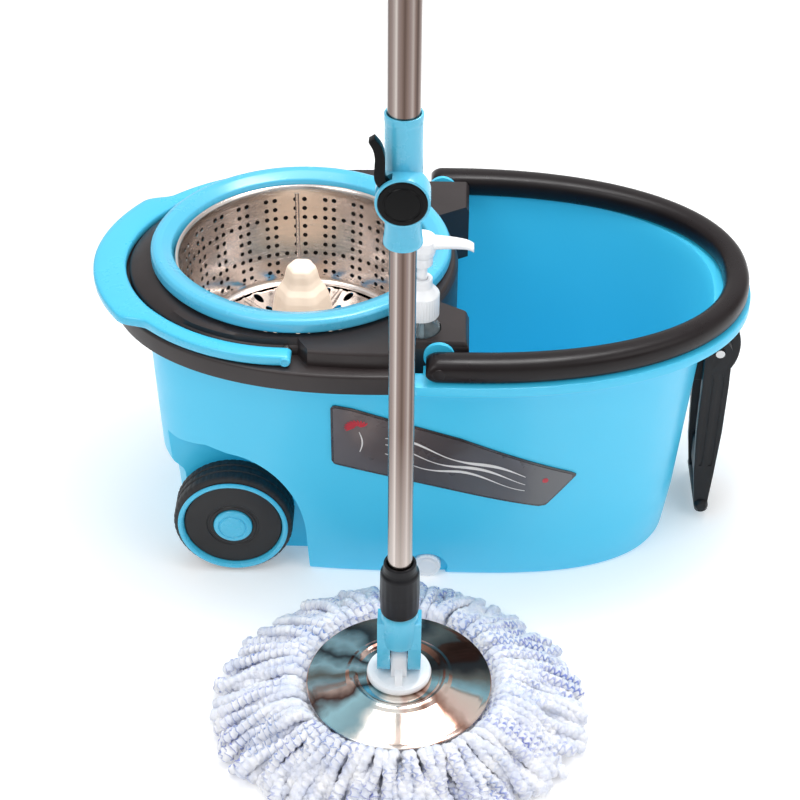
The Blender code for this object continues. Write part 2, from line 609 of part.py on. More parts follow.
for side, tag in ((-1, "front"), (1, "rear")):
    c = (WHEEL_X, 0, WHEEL_Z)
    axis_at = (WHEEL_X, side * 0.104, WHEEL_Z)
    new_object("tyre_" + tag, bm_lathe(side_profile([
        (0.0430, 0.0010), (0.0430, 0.0307), (0.0490, 0.0307), (WHEEL_R, 0.0270),
        (WHEEL_R, 0.0050), (0.0495, 0.0010)], side), c, "Y", 32), RUBBER, origin=axis_at)
    new_object("wheel_rim_" + tag, bm_lathe(side_profile([
        (0.0050, 0.0140), (0.0050, 0.0255), (0.0105, 0.0255), (0.0105, 0.0175), (0.0405, 0.0175), (0.0410, 0.0300),
        (0.0443, 0.0334), (0.0498, 0.0334), (0.0498, 0.0311), (0.0427, 0.0311), (0.0427, 0.0010),
        (0.0400, 0.0010), (0.0400, 0.0140)], side), c, "Y", 32), BLUE, origin=axis_at)
    new_object("hub_disc_" + tag, bm_lathe(side_profile([
        (0.0172, 0.0262), (0.0398, 0.0262), (0.0402, 0.0300), (0.0172, 0.0308)], side),
        c, "Y", 28), BLACK, origin=axis_at)
    new_object("centre_cap_" + tag, bm_lathe(side_profile([
        (0, 0.0290), (0.0168, 0.0290), (0.0168, 0.0322), (0.0150, 0.0336), (0, 0.0342)], side),
        c, "Y", 20), BLUE, origin=axis_at)
    new_object("wheel_axle_" + tag, bm_lathe(side_profile([
        (0, -0.0164), (0.0045, -0.0155), (0.0045, 0.0258), (0.0090, 0.0258),
        (0.0090, 0.0280), (0, 0.0286)], side), c, "Y", 14), STEEL, origin=axis_at)

# ------------------------------------------------------------------ tow handle
def tub_end_x(z):
    return X0 + lerp_rows(TUB, z)[1]


back = [(tub_end_x(z) + GAP + 0.0003, z) for z in (0.141, 0.165, 0.190, 0.2050)]
nose = []
for i in range(9):
    t = math.radians(80 - 150 * i / 8)
    nose.append((0.2515 + 0.0205 * math.cos(t), 0.1800 + 0.0300 * math.sin(t) - 0.0055 * (i / 8)))
lug = back + [(0.2445, 0.2085)] + nose + [(0.2480, 0.1410)]
bracket = new_object("tow_bracket", bm_prism(lug, -0.0120, 0.0120), BLACK)
cut(bracket, "tow_pin_bore", bm_cyl(0.0043, -0.02, 0.02, (TOW_PIV[0], 0, TOW_PIV[1]), "Y", 16))
for z in (0.155, 0.195):
    cut(bracket, "tow_screw_bore_%03d" % int(z * 1000), bm_cyl(0.0020, 0.20, 0.2485, (0, 0, z), "X", 12, phase=0.31))


def arm_outline():
    """Side view of a tow arm: round at the pin, wide at mid length, narrow at the grip."""
    px, pz = TOW_PIV
    pts = []
    for i in range(7):
        t = math.radians(180 - 180 * i / 6)
        pts.append((px + 0.0115 * math.cos(t) - 0.001, pz + 0.0115 * math.sin(t)))
    right = [(0.2625, 0.150), (0.2618, 0.100), (0.2590, 0.050), (0.2565, 0.014)]
    bottom = [(0.2515 + 0.0062 * math.cos(math.radians(-20 - 35 * i)), 0.0120 + 0.0062 * math.sin(math.radians(-20 - 35 * i))) for i in range(5) if i % 2 == 0]
    left = [(0.2440, 0.026), (0.2415, 0.050), (0.2395, 0.100), (0.2396, 0.150)]
    return pts + right + bottom + left


tow = new_object("tow_handle", bm_prism(arm_outline(), -0.0310, -0.0225), BLACK, origin=(TOW_PIV[0], 0, TOW_PIV[1]))
cut(tow, "tow_arm_rear", bm_prism(arm_outline(), 0.0225, 0.0310), "UNION")
cut(tow, "tow_grip", bm_cyl(0.0065, -0.0350, 0.0350, (0.2512, 0, 0.0145), "Y", 14), "UNION")
cut(tow, "tow_web", bm_prism([(0.2455, 0.030), (0.2575, 0.030), (0.2590, 0.052), (0.2570, 0.064), (0.2490, 0.064), (0.2450, 0.052)],
                             -0.0260, 0.0260), "UNION")
cut(tow, "tow_hole", bm_cyl(0.0043, -0.05, 0.05, (TOW_PIV[0], 0, TOW_PIV[1]), "Y", 16))
new_object("tow_pin", bm_cyl(0.0040, -0.0330, 0.0330, (TOW_PIV[0], 0, TOW_PIV[1]), "Y", 16), STEEL,
           origin=(TOW_PIV[0], 0, TOW_PIV[1]))
for z, tag in ((0.155, "lower"), (0.195, "upper")):
    xw = tub_end_x(z) - WALL
    new_object("tow_screw_" + tag, bm_lathe([
        (0, xw - 0.0034), (0.0030, xw - 0.0034), (0.0042, xw - 0.0022), (0.0042, xw - 0.0010),
        (0.0017, xw - 0.0010), (0.0017, 0.2475), (0, 0.2480)], (0, 0, z), "X", 12), STEEL)

# ------------------------------------------------------------------ drain
new_object("drain_seal", bm_cyl(0.0108, -0.1132, -0.1113, (DRAIN_X, 0, DRAIN_Z), "Y", 24, hole=0.0075), RUBBER)
new_object("drain_cap", bm_lathe([
    (0, -0.1215), (0.0105, -0.1215), (0.0121, -0.1198), (0.0121, -0.1135), (0.0071, -0.1135), (0.0071, -0.1070),
    (0, -0.1070)], (DRAIN_X, 0, DRAIN_Z), "Y", 24), WHITE, origin=(DRAIN_X, -0.1140, DRAIN_Z))

# ------------------------------------------------------------------ soap bottle and pump
new_object("soap_bottle", bm_lathe([
    (0, 0.1715), (0.0125, 0.1715), (BOTTLE_R, 0.1745), (BOTTLE_R, 0.2580), (0.0120, 0.2655), (0.0090, 0.2690),
    (0.0090, 0.2860), (0.0076, 0.2860), (0.0076, 0.2680), (0.0141, 0.2570), (0.0141, 0.1755),
    (0.0118, 0.1730), (0, 0.1730)], (CUP_X, CUP_Y, 0), "Z", 16), CLEAR, origin=(CUP_X, CUP_Y, 0.1715))
new_object("pump_collar", bm_lathe([
    (0.0093, 0.2705), (0.0145, 0.2705), (0.0145, 0.2920), (0.0085, 0.2980), (0.0085, 0.3060),
    (0.0048, 0.3060), (0.0048, 0.2910), (0.0066, 0.2880), (0.0093, 0.2865)],
    (CUP_X, CUP_Y, 0), "Z", 16), WHITE, origin=(CUP_X, CUP_Y, 0.2705))
new_object("pump_stem", bm_lathe([
    (0, 0.2780), (0.0060, 0.2780), (0.0060, 0.2850), (0.0042, 0.2860), (0.0042, 0.3292), (0, 0.3292)],
    (CUP_X, CUP_Y, 0), "Z", 16), WHITE, origin=(CUP_X, CUP_Y, 0.3060))
head = new_object("pump_head", bm_lathe([
    (0, 0.3447), (0.0085, 0.3447), (0.0105, 0.3432), (0.0105, 0.3320), (0.0095, 0.3296), (0, 0.3296)],
    (CUP_X, CUP_Y, 0), "Z", 20), WHITE, origin=(CUP_X, CUP_Y, 0.3300))
spout = []
for i in range(9):
    k = i / 8
    x = CUP_X + 0.004 + (0.0390 - 0.004) * k
    zc = 0.3395 + 0.0012 * math.sin(math.pi * k) - 0.0085 * max(0, k - 0.55) ** 2 / 0.2025
    hw = 0.0062 - 0.0030 * k
    hh = 0.0048 - 0.0022 * k
    spout.append([(x, CUP_Y + hw * math.cos(2 * math.pi * j / 10), zc + hh * math.sin(2 * math.pi * j / 10)) for j in range(10)])
cut(head, "pump_spout", bm_loft(spout), "UNION")
new_object("dip_tube", bm_cyl(0.0022, 0.1760, 0.2650, (CUP_X, CUP_Y, 0), "Z", 10), WHITE, origin=(CUP_X, CUP_Y, 0.1760))

# ------------------------------------------------------------------ badge on the front wall
def badge_span(x):
    """Lowest and highest z of the badge at x."""
    top = [(-0.078, 0.197), (-0.074, 0.199), (-0.060, 0.1965), (0.030, 0.166), (0.128, 0.1215)]
    low = [(-0.078, 0.138), (-0.074, 0.1335), (0.098, 0.0868), (0.104, 0.0872), (0.128, 0.1185)]
    def at(line):
        for a, b in zip(line, line[1:]):
            if a[0] <= x <= b[0]:
                return a[1] + (b[1] - a[1]) * (x - a[0]) / (b[0] - a[0])
        return line[-1][1]
    return at(low), at(top)


bm = bmesh.new()
NU, NV = 16, 3
grid = {}
for i in range(NU + 1):
    x = -0.078 + 0.206 * i / NU
    z0, z1 = badge_span(x)
    for j in range(NV + 1):
        z = z0 + (z1 - z0) * j / NV
        y = tub_wall_y(x, z)
        grid[i, j, 0] = bm.verts.new((x, y - GAP - 0.0002, z))
        grid[i, j, 1] = bm.verts.new((x, y - GAP - 0.0013, z))
for i in range(NU):
    for j in range(NV):
        for k in (0, 1):
            f = [grid[i, j, k], grid[i + 1, j, k], grid[i + 1, j + 1, k], grid[i, j + 1, k]]
            bm.faces.new(f if k else f[::-1])
rim = [(i, 0) for i in range(NU)] + [(NU, j) for j in range(NV)] + [(i, NV) for i in range(NU, 0, -1)] + [(0, j) for j in range(NV, 0, -1)]
for a, b in zip(rim, rim[1:] + rim[:1]):
    bm.faces.new((grid[a[0], a[1], 0], grid[b[0], b[1], 0], grid[b[0], b[1], 1], grid[a[0], a[1], 1]))
new_object("badge_plate", bm, LABEL)

# ================================================================== mop
MO = (MX, MY, 0)
def strand_squash(r, y):
    """The strands reach a little less far across the bucket than along it."""
    k = min(1.0, max(0.0, (r - 0.080) / 0.050))
    return 1.0 - (1.0 - (STRAND_RY_BACK if y > 0 else STRAND_RY) / STRAND_R) * k


new_object("strand_ring", bm_lathe([
    (0.0300, 0.0010), (0.0300, 0.0235), (0.0735, 0.0265), (0.0782, 0.0385), (0.0950, 0.0440),
    (0.1300, 0.0330), (0.1500, 0.0170), (STRAND_R, 0.0080), (0.1510, 0.0010)], MO, "Z", 28, sy=strand_squash),
    FIBRE, origin=(MX, MY, PIVOT_Z))
new_object("head_plate", bm_lathe([
    (0.0080, 0.0275), (0.0500, 0.0275), (0.0575, 0.0290), (0.0575, 0.0315), (0.0500, 0.0320), (0.0110, 0.0330),
    (0.0110, 0.0400), (0.0080, 0.0400)], MO, "Z", 20), WHITE, origin=(MX, MY, PIVOT_Z))
new_object("disc_cover", bm_lathe([
    (DISC_R, 0.0408), (DISC_R, 0.0422), (0.0670, 0.0434), (0.0420, 0.0492),
    (0.0375, 0.0514), (0.0330, 0.0498), (0.0120, 0.0490), (0.0120, 0.0480), (0.0332, 0.0488),
    (0.0375, 0.0503), (0.0415, 0.0482), (0.0666, 0.0424)], MO, "Z", 30),
    STEEL, origin=(MX, MY, PIVOT_Z))
hub = new_object("head_hub", bm_lathe([
    (0, 0.0300), (0.0076, 0.0300), (0.0076, 0.0403), (0.0112, 0.0403), (0.0112, 0.0504), (0.0255, 0.0506), (0.0257, 0.0535), (0.0245, 0.0560),
    (0, 0.0566)], MO, "Z", 20), WHITE, origin=(MX, MY, PIVOT_Z))
tongue = [(-0.0105, 0.0540), (0.0105, 0.0540)]
for i in range(7):
    t = math.radians(180 * i / 6)
    tongue.append((0.0092 * math.cos(t), PIVOT_Z + 0.0092 * math.sin(t)))
cut(hub, "hub_tongue", bm_loft([[(MX - 0.0062, MY + a, b) for a, b in tongue], [(MX + 0.0062, MY + a, b) for a, b in tongue]]), "UNION")
cut(hub, "hub_bore", bm_cyl(0.0035, -0.03, 0.03, (MX, MY, PIVOT_Z), "X", 16))


def prong(x0, x1):
    pts = []
    for i in range(7):
        t = math.radians(-180 * i / 6)
        pts.append((0.0118 * math.cos(t), PIVOT_Z + 0.0118 * math.sin(t)))
    pts += [(-0.0118, 0.0880), (-0.0100, 0.0960), (-0.0090, 0.1120), (0.0090, 0.1120), (0.0100, 0.0960), (0.0118, 0.0880)]
    return bm_loft([[(MX + x0, MY + a, b) for a, b in pts], [(MX + x1, MY + a, b) for a, b in pts]])


yoke = new_object("yoke", prong(-0.0172, -0.0070), BLUE, origin=(MX, MY, PIVOT_Z))
cut(yoke, "yoke_prong", prong(0.0070, 0.0172), "UNION")
cut(yoke, "yoke_crown", bm_lathe([
    (0, 0.0860), (0.0130, 0.0860), (0.0150, 0.0900), (0.0150, 0.1140), (0.0125, 0.1190), (0.0081, 0.1190), (0.0081, 0.1500),
    (0, 0.1500)], MO, "Z", 16), "UNION")
cut(yoke, "yoke_bore", bm_cyl(0.0036, -0.03, 0.03, (MX, MY, PIVOT_Z), "X", 16))
new_object("pivot_pin", bm_cyl(0.0032, -0.0168, 0.0168, (MX, MY, PIVOT_Z), "X", 16), STEEL, origin=(MX, MY, PIVOT_Z))
new_object("pole_sleeve", bm_lathe([
    (0.0101, 0.1700), (0.0125, 0.1700), (0.0135, 0.1620), (0.0150, 0.1590), (0.0157, 0.1400),
    (0.0150, 0.1230), (0.0140, 0.1197), (0.0101, 0.1197)], MO, "Z", 16), BLACK, origin=(MX, MY, PIVOT_Z))
new_object("lower_pole", bm_cyl(LOWER_R, LOWER_Z0, LOWER_Z1, MO, "Z", 24, hole=LOWER_R - TUBE_T), STEEL,
           origin=(MX, MY, PIVOT_Z))


# twisted drive rod, and the nut with a slot of the same twist
ROD_W, ROD_T = 0.0035, 0.0014


def rod_ring(z, w, t, n_side, offset=0.0):
    a = 2 * math.pi * (z + offset) / SCREW_LEAD
    c, s = math.cos(a), math.sin(a)
    flat = []
    corners = [(w, t), (-w, t), (-w, -t), (w, -t)]
    for (ax, ay), (bx, by) in zip(corners, corners[1:] + corners[:1]):
        for k in range(n_side):
            q = k / n_side
            flat.append((ax + (bx - ax) * q, ay + (by - ay) * q))
    return [(MX + x * c - y * s, MY + x * s + y * c, z) for x, y in flat]


ROD_Z0, ROD_Z1 = 0.4600, 0.9340
steps = 60
new_object("twist_rod", bm_loft([rod_ring(ROD_Z0 + (ROD_Z1 - ROD_Z0) * i / steps, ROD_W, ROD_T, 1) for i in range(steps + 1)]),
           STEEL, origin=(MX, MY, ROD_Z0))


def nut_slot(z, w, t):
    """Points of the slot, aligned with the twist at this height."""
    return rod_ring(z, w, t, 3)


def nut_circle(z, r):
    a0 = 2 * math.pi * z / SCREW_LEAD
    pts = []
    for q in nut_slot(z, 1.0, 0.45):
        d = Vector((q[0] - MX, q[1] - MY, 0)).normalized()
        pts.append((MX + r * d.x, MY + r * d.y, z))
    return pts


rings = ([nut_circle(z, 0.0081) for z in (0.6820, 0.6890, 0.6960, 0.7003)]
         + [nut_circle(0.70031, 0.0092), nut_circle(0.7020, 0.0092), nut_circle(0.70201, 0.0068)]
         + [nut_circle(z, 0.0068) for z in (0.7070, 0.7115)])
rings += [nut_slot(z, ROD_W + 0.0007, ROD_T + 0.0007) for z in (0.7115, 0.7070, 0.7020, 0.6960, 0.6890, 0.6820)]
new_object("drive_nut", bm_loft(rings, close=True), WHITE, origin=(MX, MY, 0.7003))
new_object("guide_bush", bm_cyl(0.0095, 0.7024, 0.7110, MO, "Z", 20, hole=0.0071), BLACK, origin=(MX, MY, 0.7060))

# upper pole with its plug, grip and lock
new_object("upper_pole", bm_cyl(UPPER_R, UPPER_Z0, UPPER_Z1, MO, "Z", 24, hole=UPPER_R - TUBE_T), STEEL,
           origin=(MX, MY, UPPER_Z0))
plug = new_object("rod_plug", bm_cyl(0.0097, 0.9150, 0.9400, MO, "Z", 20), BLACK, origin=(MX, MY, 0.9150))
slot = [rod_ring(0.9100 + 0.0245 * i / 6, ROD_W + 0.0004, ROD_T + 0.0004, 1) for i in range(7)]
cut(plug, "rod_plug_slot", bm_loft(slot))
new_object("pole_grip", bm_lathe([
    (0.0116, 1.0600), (0.0150, 1.0600), (0.0160, 1.0625), (0.0155, 1.0700), (0.0148, 1.1100), (0.0155, 1.1500), (0.0160, 1.1900),
    (0.0150, 1.1985), (0.0100, 1.2020), (0.0060, 1.2020), (0.0060, 1.1905), (0.0116, 1.1905)], MO, "Z", 16),
    BLACK, origin=(MX, MY, 1.0600))
collar = new_object("lock_collar", bm_lathe([
    (0.0113, 0.4795), (0.0113, 0.5600), (0.0129, 0.5600), (0.0129, 0.5150), (0.0126, 0.4700),
    (0.0136, 0.4615), (0.0134, 0.4595), (0.0099, 0.4595), (0.0099, 0.4795)], MO, "Z", 24), BLUE,
    origin=(MX, MY, BOSS_Z))
BY0, BY1 = MY - 0.0235, MY - 0.0060
boss = bm_cyl(BOSS_R, BY0, BY1, (MX, 0, BOSS_Z), "Y", 28)
cut(collar, "lock_boss", boss, "UNION")
cut(collar, "pole_room", bm_cyl(UPPER_R + 0.0003, 0.4795, 0.57, MO, "Z", 24))
cut(collar, "boss_recess", bm_cyl(0.0168, MY - 0.03, MY - 0.0212, (MX, 0, BOSS_Z), "Y", 32, phase=0.37))
cut(collar, "boss_pocket", bm_cyl(0.0122, MY - 0.0220, MY - 0.0128, (MX, 0, BOSS_Z), "Y", 20, phase=0.27))
# window in the boss's left side, where the lever swings
win = [(0.0, 0.0)]
for i in range(11):
    t = math.radians(112 + (250 - 112) * i / 10)
    win.append((0.030 * math.cos(t), 0.030 * math.sin(t)))
cut(collar, "boss_window", bm_prism([(MX + a, BOSS_Z + b) for a, b in win], MY - 0.0208, MY - 0.0128))
new_object("lever_cap", bm_cyl(0.0165, MY - 0.0240, MY - 0.0215, (MX, 0, BOSS_Z), "Y", 28), BLACK,
           origin=(MX, MY - 0.0240, BOSS_Z))
cut(collar, "lever_pin_seat", bm_cyl(0.0028, MY - 0.0200, MY - 0.0118, (MX, 0, BOSS_Z), "Y", 14))
new_object("lever_pin", bm_cyl(0.0025, MY - 0.0211, MY - 0.0121, (MX, 0, BOSS_Z), "Y", 14), STEEL,
           origin=(MX, MY - 0.0170, BOSS_Z))


def lever_strip():
    """Side view of the cam lever: an eye round the pin, then a curved arm."""
    path = [(-0.0040, 0.0048), (-0.0110, 0.0098), (-0.0152, 0.0155), (-0.0158, 0.0230), (-0.0158, 0.0300), (-0.0175, 0.0365), (-0.0212, 0.0420)]
    width = [0.0050, 0.0056, 0.0058, 0.0054, 0.0050, 0.0046, 0.0038]
    left, right = [], []
    for i, (p, w) in enumerate(zip(path, width)):
        a = path[max(0, i - 1)]
        b = path[min(len(path) - 1, i + 1)]
        d = Vector((b[0] - a[0], b[1] - a[1])).normalized()
        nrm = Vector((-d.y, d.x))
        left.append((p[0] + nrm.x * w / 2, p[1] + nrm.y * w / 2))
        right.append((p[0] - nrm.x * w / 2, p[1] - nrm.y * w / 2))
    return left + right[::-1]


lever = new_object("lock_lever", bm_prism([(MX + a, BOSS_Z + b) for a, b in lever_strip()], MY - 0.0204, MY - 0.0132), BLACK,
                   origin=(MX, MY - 0.0170, BOSS_Z))
cut(lever, "lever_eye", bm_cyl(0.0090, MY - 0.0204, MY - 0.0132, (MX, 0, BOSS_Z), "Y", 24), "UNION")
cut(lever, "lever_eye_bore", bm_cyl(0.0029, MY - 0.03, MY - 0.01, (MX, 0, BOSS_Z), "Y", 14))
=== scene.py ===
import bpy
import bmesh
import math
import random
from mathutils import Vector, Matrix, noise


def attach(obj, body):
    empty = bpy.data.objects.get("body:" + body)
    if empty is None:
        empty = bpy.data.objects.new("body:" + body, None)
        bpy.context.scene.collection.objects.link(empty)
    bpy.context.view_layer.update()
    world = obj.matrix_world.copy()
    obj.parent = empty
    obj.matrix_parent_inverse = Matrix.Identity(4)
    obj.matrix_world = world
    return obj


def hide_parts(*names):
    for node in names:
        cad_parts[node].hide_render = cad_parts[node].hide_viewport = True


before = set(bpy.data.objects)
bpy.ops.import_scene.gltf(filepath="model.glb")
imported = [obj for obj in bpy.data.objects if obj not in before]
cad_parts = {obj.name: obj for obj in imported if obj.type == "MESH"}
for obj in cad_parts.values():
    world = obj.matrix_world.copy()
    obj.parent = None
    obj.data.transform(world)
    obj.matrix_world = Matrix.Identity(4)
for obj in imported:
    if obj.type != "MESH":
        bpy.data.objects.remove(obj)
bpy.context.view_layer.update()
SC = bpy.context.scene
SC.view_settings.view_transform = "Standard"
rnd = random.Random(7)

# ------------------------------------------------------------------ sizes shared with the CAD
X0 = 0.026
BX = -0.1093
MX, MY = -0.0165, -0.290
PIV = 0.071
BOSS_Z = 0.5046
WX, WZ, WR = -0.1655, 0.0520, 0.0517
CUPX, CUPY = -0.005, -0.1035


# ------------------------------------------------------------------ camera
def set_camera():
    cam = bpy.data.cameras.new("camera")
    cam.lens = 90.687
    cam.sensor_width = 36.0
    cam.clip_start = 0.05
    cam.clip_end = 50
    ob = bpy.data.objects.new("camera", cam)
    right = Vector((0.99960349, 0.02733481, 0.00675846))
    up = Vector((-0.02199975, 0.60834894, 0.79336472))
    fwd = Vector((-0.01757497, 0.79319882, -0.60870908))
    m = Matrix((right, up, -fwd)).transposed().to_4x4()
    m.translation = Vector((0.00780719, -1.4355318, 1.20456976))
    ob.matrix_world = m
    SC.collection.objects.link(ob)
    SC.camera = ob


set_camera()


# ------------------------------------------------------------------ materials
def srgb(h):
    c = [int(h[i:i + 2], 16) / 255 for i in (1, 3, 5)]
    return [x / 12.92 if x <= 0.04045 else ((x + 0.055) / 1.055) ** 2.4 for x in c]


class Mat:
    """A small builder for procedural Principled materials."""

    def __init__(self, name, **sock):
        self.m = bpy.data.materials.new(name)
        self.m.use_nodes = True
        self.t = self.m.node_tree
        self.b = self.t.nodes["Principled BSDF"]
        for k, v in sock.items():
            self.set(k.replace("_", " "), v)
        self.coord = self.t.nodes.new("ShaderNodeTexCoord").outputs["Object"]

    def set(self, sock, v):
        s = self.b.inputs[sock]
        s.default_value = (*v, 1.0) if isinstance(v, (list, tuple)) and len(v) == 3 and s.type == "RGBA" else v

    def node(self, kind, **inputs):
        n = self.t.nodes.new(kind)
        for k, v in inputs.items():
            key = int(k[1:]) if k[0] == "i" and k[1:].isdigit() else k.replace("_", " ")
            if hasattr(v, "is_output") or hasattr(v, "links"):
                self.t.links.new(v, n.inputs[key])
            else:
                n.inputs[key].default_value = v
        return n

    def noise(self, scale, detail=3.0, rough=0.5, vec=None):
        n = self.node("ShaderNodeTexNoise", Scale=scale, Detail=detail, Roughness=rough)
        self.t.links.new(vec or self.coord, n.inputs["Vector"])
        return n.outputs["Fac"]

    def stretch(self, s, vec=None):
        n = self.t.nodes.new("ShaderNodeMapping")
        n.inputs["Scale"].default_value = s
        self.t.links.new(vec or self.coord, n.inputs["Vector"])
        return n.outputs["Vector"]

    def ramp(self, fac, stops):
        n = self.t.nodes.new("ShaderNodeValToRGB")
        el = n.color_ramp.elements
        while len(el) < len(stops):
            el.new(0.5)
        for e, (p, c) in zip(el, stops):
            e.position = p
            e.color = (*c, 1.0) if len(c) == 3 else c
        self.t.links.new(fac, n.inputs["Fac"])
        return n.outputs["Color"]

    def maprange(self, fac, a, b, c, d):
        n = self.node("ShaderNodeMapRange")
        for i, v in enumerate((a, b, c, d)):
            n.inputs[i + 1].default_value = v
        self.t.links.new(fac, n.inputs[0])
        return n.outputs[0]

    def color(self, out):
        self.t.links.new(out, self.b.inputs["Base Color"])
        return self

    def rough(self, out):
        self.t.links.new(out, self.b.inputs["Roughness"])
        return self

    def bump(self, height, strength=0.2, dist=0.0005):
        n = self.t.nodes.new("ShaderNodeBump")
        n.inputs["Strength"].default_value = strength
        n.inputs["Distance"].default_value = dist
        self.t.links.new(height, n.inputs["Height"])
        self.t.links.new(n.outputs["Normal"], self.b.inputs["Normal"])
        return self

    def mix(self, fac, a, b):
        n = self.t.nodes.new("ShaderNodeMix")
        n.data_type = "RGBA"
        for sock, v in ((n.inputs[0], fac), (n.inputs[6], a), (n.inputs[7], b)):
            if hasattr(v, "links") or hasattr(v, "is_output"):
                self.t.links.new(v, sock)
            elif isinstance(v, (int, float)):
                sock.default_value = v
            else:
                sock.default_value = (*v, 1.0)
        return n.outputs[2]

    def math(self, op, a, b=0.0, clamp=False):
        n = self.t.nodes.new("ShaderNodeMath")
        n.operation = op
        n.use_clamp = clamp
        for sock, v in ((n.inputs[0], a), (n.inputs[1], b)):
            if hasattr(v, "is_output") or hasattr(v, "links"):
                self.t.links.new(v, sock)
            else:
                sock.default_value = v
        return n.outputs[0]

    def xyz(self, vec=None):
        n = self.t.nodes.new("ShaderNodeSeparateXYZ")
        self.t.links.new(vec or self.coord, n.inputs[0])
        return n.outputs


def plastic(name, base, dark, rough=0.32, coat=0.0, orange=160.0, bump=0.05, sss=0.0, glow=None, glow_k=0.0):
    m = Mat(name, Roughness=rough, Metallic=0.0)
    if coat:
        m.set("Coat Weight", coat)
        m.set("Coat Roughness", 0.12)
    if sss:
        m.set("Subsurface Weight", sss)
        m.set("Subsurface Radius", (0.01, 0.012, 0.014))
        m.set("Subsurface Scale", 0.5)
    if glow:
        # stands for light that comes through the translucent wall
        m.set("Emission Color", glow)
        m.set("Emission Strength", glow_k)
    big = m.noise(9.0, 3.0)
    m.color(m.mix(m.maprange(big, 0.35, 0.7, 0.0, 1.0), base, dark))
    fine = m.noise(orange, 2.0)
    scuff = m.noise(38.0, 6.0, 0.62)
    m.rough(m.maprange(scuff, 0.3, 0.75, rough - 0.05, rough + 0.09))
    m.bump(fine, bump, 0.0004)
    return m.m


BLUE = srgb("#41b8ea")
BLUE_D = srgb("#37b0e5")
M_TUB = plastic("tub_plastic", (0.064, 0.470, 0.690), (0.058, 0.455, 0.675), 0.34, 0.12, 500.0, 0.015, glow=(0.004, 0.50, 0.82), glow_k=0.21)
M_RING = plastic("ring_plastic", (0.082, 0.450, 0.660), (0.074, 0.437, 0.646), 0.24, 0.35, 500.0, 0.015, glow=(0.02, 0.5, 0.8), glow_k=0.06)
M_RIM = plastic("rim_plastic", (0.065, 0.530, 0.780), (0.058, 0.510, 0.765), 0.28, 0.3, 500.0, 0.015)
M_COLLAR = plastic("collar_plastic", (0.100, 0.520, 0.740), (0.090, 0.500, 0.725), 0.25, 0.35, 500.0, 0.015)
M_WHITE = plastic("white_plastic", srgb("#f3f4f6"), srgb("#eceef2"), 0.28, 0.3, 180.0, 0.03)
M_IVORY = plastic("cone_plastic", (0.94, 0.80, 0.66), (0.92, 0.76, 0.61), 0.42, 0.1, 300.0, 0.03, glow=(0.95, 0.75, 0.58), glow_k=0.18)
M_SEAL = plastic("seal_rubber", srgb("#1c1c1e"), srgb("#232326"), 0.6, 0.0, 300.0, 0.1)


def black_plastic(name, base="#272121", hi="#312a2a", rough=0.36, grain=900.0, bump=0.06, spec=0.42):
    m = Mat(name, Metallic=0.0, Roughness=rough)
    m.set("Specular IOR Level", spec)
    big = m.noise(14.0, 4.0)
    m.color(m.mix(m.maprange(big, 0.3, 0.7, 0.0, 1.0), srgb(base), srgb(hi)))
    g = m.noise(grain, 2.0, 0.6)
    s = m.noise(45.0, 5.0, 0.6)
    m.rough(m.maprange(s, 0.3, 0.75, rough - 0.06, rough + 0.10))
    m.bump(g, bump, 0.00025)
    return m.m


M_BLACK = black_plastic("black_plastic")
M_LOOP = black_plastic("loop_plastic", "#150f10", "#1b1516", 0.30, 700.0, 0.04, 0.26)
M_TOW = black_plastic("tow_plastic", "#161618", "#1e1d20", 0.38, 800.0, 0.08, 0.24)
M_DISCB = black_plastic("hub_disc_plastic", "#1f1d1e", "#282627", 0.36, 900.0, 0.06, 0.34)
M_BOSSCAP = black_plastic("lever_cap_plastic", "#060607", "#0b0b0c", 0.20, 300.0, 0.02, 0.14)
M_SLEEVE = black_plastic("sleeve_plastic", "#0f0f12", "#16161a", 0.34, 600.0, 0.05, 0.24)


def tyre_material():
    m = Mat("tyre_rubber", Roughness=0.62, Metallic=0.0)
    dust = m.noise(55.0, 6.0, 0.65)
    m.color(m.mix(m.maprange(dust, 0.45, 0.8, 0.0, 0.7), srgb("#1d1c1e"), srgb("#3a393b")))
    m.rough(m.maprange(dust, 0.3, 0.8, 0.5, 0.75))
    m.bump(m.noise(1200.0, 2.0), 0.2, 0.0003)
    return m.m


M_TYRE = tyre_material()


def steel(name, tint=(0.60, 0.55, 0.51), rough=0.16, brush=(40.0, 40.0, 900.0), amount=0.10, bump=0.02, aniso=0.0):
    m = Mat(name, Metallic=1.0, Roughness=rough)
    if aniso:
        m.set("Anisotropic", aniso)
    streak = m.noise(1.0, 4.0, 0.6, m.stretch(brush))
    smear = m.noise(22.0, 5.0, 0.6)
    lo = [c * 0.90 for c in tint]
    m.color(m.mix(m.maprange(smear, 0.3, 0.7, 0.0, 1.0), tint, lo))
    m.rough(m.maprange(streak, 0.25, 0.8, max(0.04, rough - amount * 0.5), rough + amount))
    m.bump(streak, bump, 0.0002)
    return m.m


